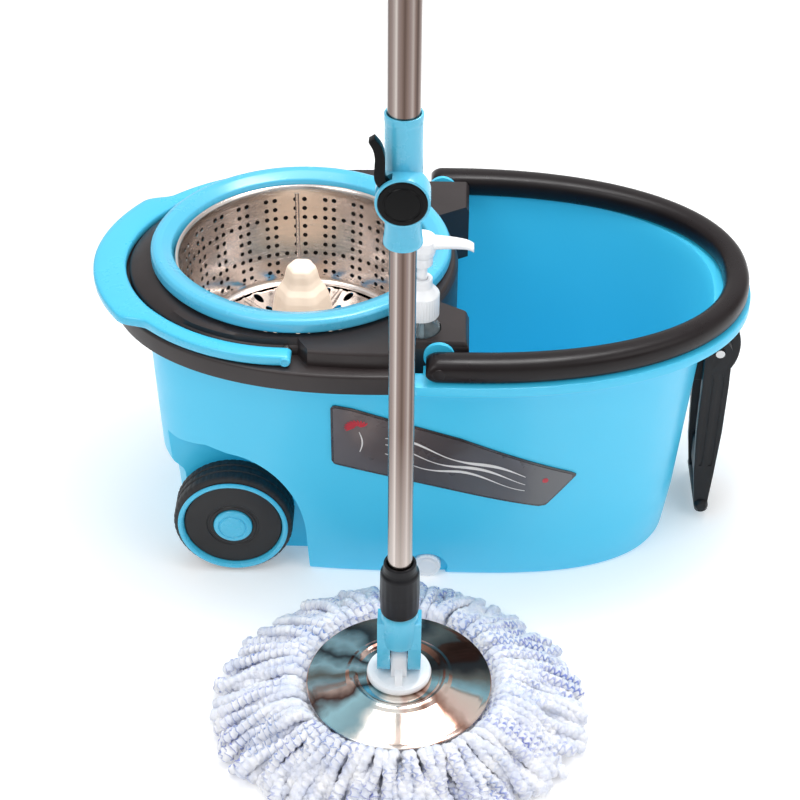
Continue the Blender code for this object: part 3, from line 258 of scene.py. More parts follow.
def pole_material():
    """Polished tube: lengthwise bands of painted reflection, light and brown, that run round the tube."""
    m = Mat("pole_steel", Metallic=1.0, Roughness=0.2)
    x, y, z = m.xyz()[0], m.xyz()[1], m.xyz()[2]
    ax = m.math("ADD", x, 0.0165)
    ay = m.math("ADD", y, 0.290)
    ang = m.math("ARCTAN2", ax, m.math("MULTIPLY", ay, -1.0))
    drift = m.noise(1.0, 3.0, 0.5, m.stretch((30.0, 30.0, 1.2)))
    ang = m.math("ADD", ang, m.math("MULTIPLY", m.math("SUBTRACT", drift, 0.5), 0.10))
    f = m.maprange(ang, -math.pi, math.pi, 0.0, 1.0)
    # painted reflection: dark, brown, mid, light and highlight bands of mirrored surroundings, set round the tube by
    # angle
    dk, br, md, lt, hi = (0.085, 0.058, 0.050), (0.20, 0.145, 0.125), (0.25, 0.195, 0.180), (0.38, 0.325, 0.300), (0.56, 0.505, 0.470)
    stops = [(0.0, md), (0.06, dk), (0.12, lt), (0.19, br), (0.255, md), (0.285, lt), (0.315, dk), (0.345, br), (0.375, md), (0.405, lt), (0.425, hi), (0.445, md),
             (0.475, br), (0.505, (0.11, 0.075, 0.062)), (0.535, br), (0.56, md), (0.585, lt), (0.61, br), (0.64, dk), (0.67, br), (0.70, md), (0.725, hi), (0.745, br), (0.79, dk), (0.85, md), (0.90, lt), (0.95, br), (1.0, md)]
    painted_reflection_band = m.ramp(f, stops)
    # painted reflection: the tube's colour turns lighter towards its lower end
    low = m.maprange(z, 0.30, 0.16, 0.0, 0.40)
    m.color(m.mix(low, painted_reflection_band, (0.80, 0.73, 0.68)))
    streak = m.noise(1.0, 4.0, 0.6, m.stretch((1400.0, 1400.0, 12.0)))
    m.rough(m.maprange(streak, 0.25, 0.8, 0.14, 0.26))
    m.bump(streak, 0.02, 0.0002)
    return m.m


M_POLE = pole_material()
M_DRUM = steel("drum_steel", (0.80, 0.72, 0.67), 0.20, (60.0, 60.0, 500.0), 0.12, 0.02)
def disc_material():
    """Polished disc with painted reflections: its spun surface is dark and brown in some sectors and bright in others.
    """
    m = Mat("disc_steel", Metallic=0.80, Roughness=0.1)
    x, y, z = m.xyz()[0], m.xyz()[1], m.xyz()[2]
    ax = m.math("ADD", x, 0.0165)
    ay = m.math("ADD", y, 0.290)
    ang = m.math("ARCTAN2", ay, ax)
    wave = m.noise(34.0, 3.0, 0.55)
    ang = m.math("ADD", ang, m.math("MULTIPLY", m.math("SUBTRACT", wave, 0.5), 0.55))
    f = m.maprange(ang, -math.pi, math.pi, 0.0, 1.0)
    # painted reflection: dark, brown, beige, cream and cyan sectors of mirrored surroundings, set round the disc by
    # angle
    dk, br, be, cr, cy = (0.065, 0.026, 0.020), (0.30, 0.150, 0.105), (0.70, 0.52, 0.45), (0.92, 0.86, 0.79), (0.36, 0.60, 0.66)
    stops = [(0.0, br), (0.035, be), (0.075, dk), (0.11, cy), (0.155, (0.28, 0.45, 0.50)), (0.19, cr), (0.245, cr), (0.27, be), (0.30, (0.78, 0.66, 0.56)), (0.33, br), (0.345, be), (0.37, br), (0.40, be),
             (0.45, (0.70, 0.60, 0.52)), (0.50, br), (0.535, dk), (0.60, (0.05, 0.025, 0.018)), (0.66, br), (0.70, dk), (0.75, be), (0.80, br), (0.85, dk), (0.90, be), (0.93, dk), (0.965, be), (1.0, br)]
    m.color(m.ramp(f, stops))
    m.rough(m.maprange(wave, 0.3, 0.7, 0.06, 0.13))
    return m.m


M_DISC = disc_material()
M_PIN = steel("pin_steel", (0.55, 0.55, 0.55), 0.30, (300.0, 300.0, 300.0), 0.15, 0.05)


def clear_material(name, tint="#e8f6fb", rough=0.06, alpha=None):
    m = Mat(name, Metallic=0.0, Roughness=rough)
    m.set("Transmission Weight", 0.92)
    m.set("IOR", 1.45)
    n = m.noise(30.0, 3.0)
    m.color(m.mix(m.maprange(n, 0.3, 0.7, 0.0, 1.0), srgb(tint), srgb("#d9eef6")))
    m.rough(m.maprange(n, 0.3, 0.7, rough, rough + 0.06))
    return m.m


M_CLEAR = clear_material("clear_plastic")
M_SOAP = clear_material("liquid_soap", "#7fd0ee", 0.05)


def strand_material():
    """Chenille cord: tufts of white pile with blue thread that runs along between them."""
    m = Mat("strand_fibre", Roughness=0.92, Metallic=0.0)
    m.set("Sheen Weight", 0.35)
    m.set("Sheen Roughness", 0.5)
    uv = m.t.nodes.new("ShaderNodeUVMap")
    uv.uv_map = "strand"
    xyz = m.xyz(uv.outputs[0])
    u, v = xyz[0], xyz[1]
    jit = m.noise(230.0, 3.0, 0.6)
    wig = m.math("SINE", m.math("MULTIPLY", u, 6.2832))
    lane = m.math("ADD", m.math("MULTIPLY", v, 12.5664), m.math("MULTIPLY", wig, 0.85))
    lane = m.math("ADD", lane, m.math("MULTIPLY", m.math("SUBTRACT", jit, 0.5), 2.2))
    line = m.math("SINE", lane)
    thread = m.maprange(line, 0.72, 0.97, 0.0, 1.0)
    knot = m.math("SINE", m.math("ADD", m.math("MULTIPLY", u, 6.2832), m.math("MULTIPLY", jit, 3.0)))
    cross = m.maprange(knot, 0.80, 1.0, 0.0, 0.65)
    patch = m.noise(24.0, 3.0, 0.55)
    gate = m.maprange(patch, 0.44, 0.62, 0.10, 1.0)
    fac = m.math("MULTIPLY", m.math("MAXIMUM", thread, cross), gate, clamp=True)
    hue = m.noise(15.0, 2.0)
    blue = m.ramp(hue, [(0.36, srgb("#6f93d6")), (0.5, srgb("#8d97dc")), (0.62, srgb("#a3b7e6"))])
    pile = m.noise(700.0, 4.0, 0.7)
    shade = m.noise(60.0, 4.0, 0.6)
    white = m.mix(m.maprange(shade, 0.35, 0.65, 0.0, 1.0), srgb("#dfe4f3"), srgb("#fbfbfe"))
    m.color(m.mix(fac, white, blue))
    m.bump(m.math("ADD", pile, m.math("MULTIPLY", fac, -1.4)), 0.7, 0.0014)
    return m.m


M_STRAND = strand_material()


def badge_material():
    m = Mat("label_film", Roughness=0.30, Metallic=0.0)
    m.set("Coat Weight", 0.5)
    m.set("Coat Roughness", 0.1)
    x, y, z = m.xyz()[0], m.xyz()[1], m.xyz()[2]
    grad = m.maprange(m.math("ADD", x, m.math("MULTIPLY", z, -0.6)), -0.18, 0.09, 0.0, 1.0)
    n = m.noise(30.0, 4.0)
    base = m.ramp(m.math("ADD", grad, m.math("MULTIPLY", n, 0.12)), [(0.0, srgb("#5a5456")), (0.45, srgb("#3f3a3c")), (1.0, srgb("#5d5c5f"))])
    m.color(base)
    m.rough(m.maprange(n, 0.3, 0.7, 0.25, 0.38))
    m.bump(m.noise(300.0), 0.02, 0.0002)
    return m.m


M_BADGE = badge_material()


# ------------------------------------------------------------------ mesh helpers
def smooth_object(o, angle=40):
    o.data.shade_smooth()
    o.data.set_sharp_from_angle(angle=math.radians(angle))
    return o


def build(name, verts, faces, mat, body, nodes=(), angle=40, uv=None, merge=0.0):
    me = bpy.data.meshes.new(name)
    me.from_pydata([tuple(v) for v in verts], [], faces)
    me.validate()
    bm = bmesh.new()
    bm.from_mesh(me)
    if merge:
        bmesh.ops.remove_doubles(bm, verts=bm.verts, dist=merge)
    bmesh.ops.recalc_face_normals(bm, faces=bm.faces)
    bm.to_mesh(me)
    bm.free()
    o = bpy.data.objects.new(name, me)
    SC.collection.objects.link(o)
    me.materials.append(mat)
    smooth_object(o, angle)
    if body:
        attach(o, body)
    if nodes:
        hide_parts(*nodes)
    return o


def skin(rings, loop=False, cap0=True, cap1=True, base=0):
    """Verts and faces of a skin over rings of equal length."""
    n = len(rings[0])
    verts = [p for r in rings for p in r]
    faces = []
    rows = len(rings)
    for i in range(rows if loop else rows - 1):
        k = (i + 1) % rows
        for j in range(n):
            l = (j + 1) % n
            faces.append((base + i * n + j, base + i * n + l, base + k * n + l, base + k * n + j))
    if not loop:
        if cap0:
            faces.append(tuple(base + j for j in range(n))[::-1])
        if cap1:
            faces.append(tuple(base + (rows - 1) * n + j for j in range(n)))
    return verts, faces


def join(*vf):
    V, F = [], []
    for v, f in vf:
        o = len(V)
        V += list(v)
        F += [tuple(i + o for i in q) for q in f]
    return V, F


def soften(pts, rad, seg=4, closed=True):
    """Round every corner of an outline with arcs; rad is one radius or one per point."""
    out = []
    n = len(pts)
    for i, p in enumerate(pts):
        r = rad[i] if isinstance(rad, (list, tuple)) else rad
        if (not closed and i in (0, n - 1)) or r <= 0:
            out.append(tuple(p))
            continue
        a = Vector(pts[(i - 1) % n])
        b = Vector(p)
        c = Vector(pts[(i + 1) % n])
        u, v = (a - b), (c - b)
        lu, lv = u.length, v.length
        if lu < 1e-9 or lv < 1e-9:
            out.append(tuple(p))
            continue
        u.normalize()
        v.normalize()
        ang = u.angle(v)
        if ang > math.pi - 0.02:
            out.append(tuple(p))
            continue
        t = min(r / math.tan(ang / 2), lu * 0.48, lv * 0.48)
        rr = t * math.tan(ang / 2)
        cen = b + (u + v).normalized() * (rr / math.sin(ang / 2))
        s = b + u * t
        e = b + v * t
        a0 = (s - cen)
        a1 = (e - cen)
        for k in range(seg + 1):
            q = k / seg
            w = a0 * (math.sin((1 - q) * a0.angle(a1)) / max(1e-9, math.sin(a0.angle(a1)))) + a1 * (math.sin(q * a0.angle(a1)) / max(1e-9, math.sin(a0.angle(a1))))
            out.append(tuple(cen + w))
    return out


def turn(profile, centre, axis="Z", n=96, closed=True, fn=None):
    """Turned surface from (radius, height) points. closed joins the last point to the first."""
    cx, cy, cz = centre
    verts, faces, rows = [], [], []
    for r, u in profile:
        if r < 1e-7:
            i0 = len(verts)
            q = {"Z": (cx, cy, cz + u), "Y": (cx, cy + u, cz), "X": (cx + u, cy, cz)}[axis]
            verts.append(q)
            rows.append([i0])
            continue
        row = []
        for k in range(n):
            t = 2 * math.pi * k / n
            rr, uu = (r, u) if fn is None else fn(r, u, t)
            c, s = rr * math.cos(t), rr * math.sin(t)
            q = {"Z": (cx + c, cy + s, cz + uu), "Y": (cx + s, cy + uu, cz + c), "X": (cx + uu, cy + c, cz + s)}[axis]
            row.append(len(verts))
            verts.append(q)
        rows.append(row)
    m = len(rows)
    for i in range(m if closed else m - 1):
        a, b = rows[i], rows[(i + 1) % m]
        if len(a) == 1 and len(b) == 1:
            continue
        for j in range(n):
            l = (j + 1) % n
            if len(a) == 1:
                faces.append((a[0], b[l], b[j]))
            elif len(b) == 1:
                faces.append((a[j], a[l], b[0]))
            else:
                faces.append((a[j], a[l], b[l], b[j]))
    return verts, faces


def lathe(name, profile, centre, mat, body, nodes=(), axis="Z", n=96, round_r=0.0006, seg=3, closed=True, angle=40, fn=None):
    pr = soften(profile, round_r, seg, closed) if round_r else profile
    v, f = turn(pr, centre, axis, n, closed, fn)
    return build(name, v, f, mat, body, nodes, angle)


def boolean(o, cutters, op="DIFFERENCE"):
    """Cut or add helper meshes, then keep only the result."""
    tmp = []
    for v, f in cutters:
        me = bpy.data.meshes.new("cut")
        me.from_pydata([tuple(p) for p in v], [], f)
        bm = bmesh.new()
        bm.from_mesh(me)
        bmesh.ops.recalc_face_normals(bm, faces=bm.faces)
        bm.to_mesh(me)
        bm.free()
        c = bpy.data.objects.new("cut", me)
        SC.collection.objects.link(c)
        m = o.modifiers.new("cut", "BOOLEAN")
        m.operation = op
        m.solver = "EXACT"
        m.object = c
        tmp.append(c)
    apply_mods(o)
    for c in tmp:
        me = c.data
        bpy.data.objects.remove(c)
        bpy.data.meshes.remove(me)
    return o


def apply_mods(o):
    dg = bpy.context.evaluated_depsgraph_get()
    me = bpy.data.meshes.new_from_object(o.evaluated_get(dg))
    old = o.data
    o.modifiers.clear()
    o.data = me
    bpy.data.meshes.remove(old)
    return o


def bevel(o, width, seg=3, angle=35):
    m = o.modifiers.new("bevel", "BEVEL")
    m.width = width
    m.segments = seg
    m.limit_method = "ANGLE"
    m.angle_limit = math.radians(angle)
    m.harden_normals = False
    apply_mods(o)
    smooth_object(o, 40)
    return o


def prism(outline, lo, hi, axis="Y"):
    def put(a, b, w):
        return {"Y": (a, w, b), "Z": (a, b, w), "X": (w, a, b)}[axis]
    return skin([[put(a, b, lo) for a, b in outline], [put(a, b, hi) for a, b in outline]])


def cyl(r, lo, hi, centre, axis="Y", n=48):
    return turn([(0, lo), (r, lo), (r, hi), (0, hi)], centre, axis, n, False)


def lerp_rows(rows, z):
    for a, b in zip(rows, rows[1:]):
        if a[0] <= z <= b[0]:
            k = (z - a[0]) / (b[0] - a[0])
            return [p + (q - p) * k for p, q in zip(a, b)]
    return list(rows[-1] if z > rows[-1][0] else rows[0])


def smoothstep(a, b, x):
    k = min(1.0, max(0.0, (x - a) / (b - a)))
    return k * k * (3 - 2 * k)


# ------------------------------------------------------------------ bucket tub
FL_A, FL_AL, FL_B, FL_N, FL_NL = 0.2485, 0.2875, 0.1565, 2.15, 2.60
TUB = [
    (0.0000, 0.1885, 0.2380, 0.1130, 2.75, 3.60),
    (0.0012, 0.1908, 0.2403, 0.1153, 2.73, 3.64),
    (0.0040, 0.1925, 0.2420, 0.1170, 2.70, 3.70),
    (0.0470, 0.1985, 0.2465, 0.1222, 2.60, 3.90),
    (0.0840, 0.2016, 0.2484, 0.1256, 2.52, 4.00),
    (0.0880, 0.2019, 0.2500, 0.1259, 2.52, 4.00),
    (0.0950, 0.2026, 0.2572, 0.1266, 2.50, 4.00),
    (0.0990, 0.2029, 0.2587, 0.1269, 2.50, 4.00),
    (0.1240, 0.2052, 0.2595, 0.1290, 2.45, 4.00),
    (0.2050, 0.2125, 0.2640, 0.1355, 2.30, 3.50),
    (0.2120, 0.2143, 0.2652, 0.1368, 2.28, 3.35),
    (0.2165, 0.2165, 0.2670, 0.1388, 2.25, 3.20),
    (0.2198, 0.2204, 0.2698, 0.1412, 2.23, 3.00),
    (0.2222, 0.2262, 0.2740, 0.1448, 2.20, 2.80),
    (0.2240, 0.2345, 0.2790, 0.1495, 2.18, 2.70),
    (0.2254, 0.2440, 0.2850, 0.1545, 2.16, 2.60),
]


def oval(x0, ar, al, b, nr, nl, squeeze=None, count=208):
    pts = []
    for i in range(count):
        t = 2 * math.pi * i / count
        c, s = math.cos(t), math.sin(t)
        if c <= 0:
            k = abs(c) ** (2 / FL_NL)
            x = x0 - al * k
            y = math.copysign(b * max(0.0, 1 - k ** nl) ** (1 / nl), s) if abs(s) > 1e-9 else 0.0
        else:
            x = x0 + ar * abs(c) ** (2 / nr)
            y = b * math.copysign(abs(s) ** (2 / nr), s)
        if squeeze:
            y *= squeeze(x)
        pts.append((x, y))
    return pts


def rim_step(x):
    return 1.0 - 0.055 * min(1.0, max(0.0, (-0.0079 - x) / 0.0010))


def tub_ring(row, grow=0.0, z=None, squeeze=None):
    zz, ar, al, b, n, nl = row
    return [(x, y, zz if z is None else z) for x, y in oval(X0, ar + grow, al + grow, b + grow, n, nl, squeeze)]


def tub_wall_y(x, z):
    _, ar, al, b, n, nl = lerp_rows(TUB, z)
    a = ar if x > X0 else al
    n = n if x > X0 else nl
    k = min(1.0, abs((x - X0) / a))
    return -b * (1 - k ** n) ** (1 / n)


def arch(grow, lo_x, steps=26):
    cx, cz = WX, WZ
    ra = 0.0640 + grow
    pts = [(cx + ra + 0.0035, -0.03), (cx + ra + 0.001, 0.015)]
    for i in range(steps + 1):
        t = 0.5 * math.pi * i / steps
        pts.append((cx + ra * math.cos(t), cz - 0.012 + (0.0925 + grow) * math.sin(t)))
    top = cz - 0.012 + 0.0925 + grow
    pts += [(cx - 0.020, top + 0.004), (cx - 0.045, top - 0.002), (lo_x, top - 0.012), (lo_x, -0.03)]
    return pts


def make_tub():
    rings = [tub_ring(r) for r in TUB[:-1]]
    rings.append(tub_ring(TUB[-1], squeeze=rim_step))
    for z, g in ((0.2260, -0.0012), (0.2270, -0.0002), (0.2280, 0.0), (0.2344, 0.0), (0.2352, -0.0003), (0.2356, -0.0011)):
        rings.append([(x, y, z) for x, y in oval(X0, FL_A + g, FL_AL + g, FL_B + g, FL_N, FL_NL, rim_step)])
    v, f = skin(rings)
    tub = build("tub_wall", v, f, M_TUB, None)
    fl = 0.0042
    wall = 0.0026
    inner = [tub_ring(lerp_rows(TUB, fl), -wall - 0.0034, z=fl), tub_ring(lerp_rows(TUB, 0.0052), -wall - 0.0012, z=0.0052),
             tub_ring(lerp_rows(TUB, 0.0085), -wall, z=0.0085)]
    inner += [tub_ring(r, -wall) for r in TUB[3:10]]
    inner.append([(x, y, 0.2200) for x, y in oval(X0, 0.2140, 0.2640, 0.1352, 2.26, 3.20)])
    inner.append([(x, y, 0.2330) for x, y in oval(X0, 0.2160, 0.2650, 0.1362, 2.25, 3.10)])
    inner.append([(x, y, 0.2358) for x, y in oval(X0, 0.2178, 0.2662, 0.1374, 2.24, 3.00)])
    inner.append([(x, y, 0.2500) for x, y in oval(X0, 0.2200, 0.2670, 0.1385, 2.24, 3.00)])
    v, f = skin(inner)
    cav = build("tub_cavity", v, f, M_TUB, None)
    cuts = []
    for side in (-1, 1):
        a, b = side * (0.0840 - wall), side * 0.20
        cuts.append(prism(arch(wall, -0.34), min(a, b), max(a, b)))
        a, b = side * 0.0640, side * 0.09
        cuts.append(cyl(0.0105, min(a, b), max(a, b), (WX, 0, WZ), "Y", 32))
    cuts.append(cyl(0.0205, -0.2, -0.1110 + wall, (0.0036, 0, 0.0080), "Y", 48))
    boolean(cav, cuts)
    me = cav.data
    cavity = ([tuple(q.co) for q in me.vertices], [tuple(p.vertices) for p in me.polygons])
    bpy.data.objects.remove(cav)
    cuts = []
    for side in (-1, 1):
        a, b = side * 0.0840, side * 0.20
        cuts.append(prism(arch(0.0, -0.34), min(a, b), max(a, b)))
    cuts.append(cyl(0.0180, -0.2, -0.1110, (0.0036, 0, 0.0080), "Y", 48))
    cuts.append(cavity)
    boolean(tub, cuts)
    adds = []
    for side in (-1, 1):
        ya, yb = side * 0.1262, side * 0.1297
        adds.append(cyl(0.0125, min(ya, yb), max(ya, yb), (0.010, 0, 0.2464), "Y", 48))
        yc = side * 0.1375
        lo, hi = min(ya, yc), max(ya, yc)
        adds.append(prism([(-0.0025, 0.2180), (0.0225, 0.2180), (0.0225, 0.2352), (-0.0025, 0.2352)], lo, hi))
    boolean(tub, adds, "UNION")
    cuts = []
    for side in (-1, 1):
        cuts.append(cyl(0.0053, side * 0.128 - 0.01, side * 0.128 + 0.01, (0.010, 0, 0.2464), "Y", 24))
        a, b = side * 0.0700, side * 0.10
        cuts.append(cyl(0.0048, min(a, b), max(a, b), (WX, 0, WZ), "Y", 24))
    cuts.append(cyl(0.0078, -0.125, -0.100, (0.0036, 0, 0.0125), "Y", 32))
    for z in (0.155, 0.195):
        cuts.append(cyl(0.0024, 0.20, 0.26, (0, 0, z), "X", 16))
    boolean(tub, cuts)
    smooth_object(tub, 32)
    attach(tub, "bucket")
    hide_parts("tub_shell")
    return tub


make_tub()

# ------------------------------------------------------------------ spinner deck
DECK_X0, DECK_A, DECK_B, DECK_N = -0.054, 0.2165, 0.155, 2.2
DECK_TOP, LEDGE_Z, DECK_END = 0.2575, 0.2435, -0.0095
TONGUE_X, TONGUE_Y = 0.034, 0.1255


def ray_superellipse(th, x0, a, b, n):
    lo, hi = 0.0, 0.5
    for _ in range(40):
        mid = 0.5 * (lo + hi)
        x, y = BX + mid * math.cos(th), mid * math.sin(th)
        if abs((x - x0) / a) ** n + abs(y / b) ** n < 1:
            lo = mid
        else:
            hi = mid
    return lo


def on_rim(th):
    return BX + ray_superellipse(th, DECK_X0, DECK_A, DECK_B, DECK_N) * math.cos(th) <= DECK_END


def deck_edge(th, shrink=0.0):
    c, s = math.cos(th), abs(math.sin(th))
    if on_rim(th):
        return ray_superellipse(th, DECK_X0, DECK_A - shrink, DECK_B - shrink, DECK_N)
    arc = 0.134 - shrink
    if s > 1e-6 and c > 0 and math.degrees(math.atan2(s, c)) > 29.5:
        return max(arc, min((TONGUE_X - shrink - BX) / c, (TONGUE_Y - shrink) / s))
    return arc


def deck_plateau(th):
    c = math.cos(th)
    e = deck_edge(th)
    x = BX + e * c
    if not on_rim(th):
        return e - 0.0016
    full = min(e - 0.006, ray_superellipse(th, -0.117, 0.1414 - 0.0024, 0.1292 - 0.0024, 1.95))
    k = smoothstep(-0.1010, -0.0960, x)
    return full + (e - 0.0130 - full) * k


def make_deck():
    steps = [math.radians(29.5), math.atan2(TONGUE_Y, TONGUE_X - BX)]
    for x_at in (DECK_END,):
        lo, hi = 0.0, math.pi
        for _ in range(50):
            mid = 0.5 * (lo + hi)
            if BX + ray_superellipse(mid, DECK_X0, DECK_A, DECK_B, DECK_N) * math.cos(mid) > x_at:
                lo = mid
            else:
                hi = mid
        steps.append(lo)
    count = 220
    ths = [2 * math.pi * (i + 0.5) / count for i in range(count)]
    ths = [t for t in ths if all(abs(min(t, 2 * math.pi - t) - s) > 0.006 for s in steps)]
    for s in steps:
        for e in (-0.0022, 0.0022):
            ths += [s + e, 2 * math.pi - s - e]
    ths.sort()
    cross = [t for t in ths if on_rim(t)]
    first, last = ths.index(min(cross)), ths.index(max(cross))
    crossing = {ths[i] for i in (first, first - 1, last, last + 1)}

    def skirt_z(th):
        if th in crossing:
            return 0.2386
        return 0.2262 if first < ths.index(th) < last else 0.2050

    def ledge(th):
        return LEDGE_Z if on_rim(th) else 0.2540

    def row(rf, zf):
        out = []
        for th in ths:
            r = rf(th) if callable(rf) else rf
            z = zf(th) if callable(zf) else zf
            out.append((BX + r * math.cos(th), r * math.sin(th), z))
        return out

    def beside(th):
        return 1 - smoothstep(-0.1010, -0.0960, BX + deck_edge(th) * math.cos(th)) if on_rim(th) else 0.0

    def shoulder(th):
        return DECK_TOP + (0.2515 - DECK_TOP) * beside(th)

    inset = 0.0028
    rows = [
        row(deck_edge, skirt_z),
        row(deck_edge, lambda t: ledge(t) - 0.0030),
        row(lambda t: deck_edge(t) - 0.0003, lambda t: ledge(t) - 0.0014),
        row(lambda t: deck_edge(t) - 0.0012, lambda t: ledge(t) - 0.0004),
        row(lambda t: deck_edge(t) - 0.0014 if not on_rim(t) else deck_edge(t) - 0.0024, ledge),
        row(lambda t: deck_plateau(t) + 0.0002, lambda t: ledge(t) + 0.0002),
        row(lambda t: deck_plateau(t) - 0.0003, lambda t: shoulder(t) - 0.0026),
        row(lambda t: deck_plateau(t) - 0.0010, lambda t: shoulder(t) - 0.0010),
        row(lambda t: deck_plateau(t) - 0.0024, shoulder),
        row(lambda t: min(deck_plateau(t) - 0.0030, 0.1315 if beside(t) > 0.5 else 1.0), lambda t: shoulder(t) + (DECK_TOP - shoulder(t)) * 0.72),
        row(lambda t: min(deck_plateau(t) - 0.0036, 0.1255 if beside(t) > 0.5 else 1.0), DECK_TOP),
        row(0.1185, DECK_TOP), row(0.1160, DECK_TOP - 0.0006), row(0.1150, DECK_TOP - 0.0030),
        row(0.1138, 0.2260), row(0.1045, 0.1530), row(0.0047, 0.1530), row(0.0047, 0.1495), row(0.1060, 0.1495),
        row(0.1163, 0.2260), row(0.1180, 0.2395),
        row(lambda t: min(deck_plateau(t), deck_edge(t) - 0.0035) - inset, 0.2395),
        row(lambda t: deck_edge(t) - inset, 0.2390),
        row(lambda t: deck_edge(t) - inset, skirt_z),
    ]
    v, f = skin(rows, loop=True)
    o = build("spinner_deck_body", v, f, M_BLACK, None)
    cuts = []
    for k in range(6):
        a0, a1 = math.radians(60 * k + 6), math.radians(60 * k + 54)
        pts = [(BX + 0.030 * math.cos(a0 + (a1 - a0) * q), 0.030 * math.sin(a0 + (a1 - a0) * q)) for q in (0.12, 0.5, 0.88)]
        pts += [(BX + 0.088 * math.cos(a1 - (a1 - a0) * i / 8), 0.088 * math.sin(a1 - (a1 - a0) * i / 8)) for i in range(9)]
        cuts.append(prism(pts, 0.145, 0.160, "Z"))
    boolean(o, cuts)
    boolean(o, [cyl(0.0183, 0.1680, DECK_TOP - 0.0010, (CUPX, CUPY, 0), "Z", 48)], "UNION")
    cuts = [cyl(0.0163, 0.1710, 0.2700, (CUPX, CUPY, 0), "Z", 48)]
    for side in (-1, 1):
        cuts.append(cyl(0.0053, side * 0.1255 - 0.0075, side * 0.1255 + 0.0075, (0.010, 0, 0.2464), "Y", 24))
        cuts.append(cyl(0.0033, side * 0.1225 - 0.012, side * 0.1225 + 0.012, (-0.1132, 0, 0.2488), "Y", 24))
    boolean(o, cuts)
    smooth_object(o, 32)
    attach(o, "bucket")
    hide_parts("spinner_deck")


make_deck()

# ------------------------------------------------------------------ splash ring
def ring_front(r, u, t):
    """The front of the ring is pulled in and its lip reaches over the basket's rolled rim."""
    w = smoothstep(-0.15, 1.0, -math.sin(t))
    lip = 1.0 - smoothstep(0.1120, 0.1250, r)
    r2 = r - w * (0.0078 + 0.0052 * lip)
    u2 = u + 0.0022 * w
    if lip > 0.4:
        u2 = max(u2, 0.2560 + 0.0080 * w)
    return r2, u2


lathe("splash_ring_body", [
    (0.1280, 0.2579), (0.1284, 0.2600), (0.1280, 0.2660), (0.1262, 0.2686), (0.1228, 0.2696),
    (0.1185, 0.2686), (0.1110, 0.2640), (0.1090, 0.2560), (0.1104, 0.2560),
    (0.1122, 0.2622), (0.1240, 0.2664), (0.1252, 0.2579)], (BX, 0, 0), M_RING, "bucket", ("splash_ring",), n=180,
    round_r=0.0032, seg=5, fn=ring_front)


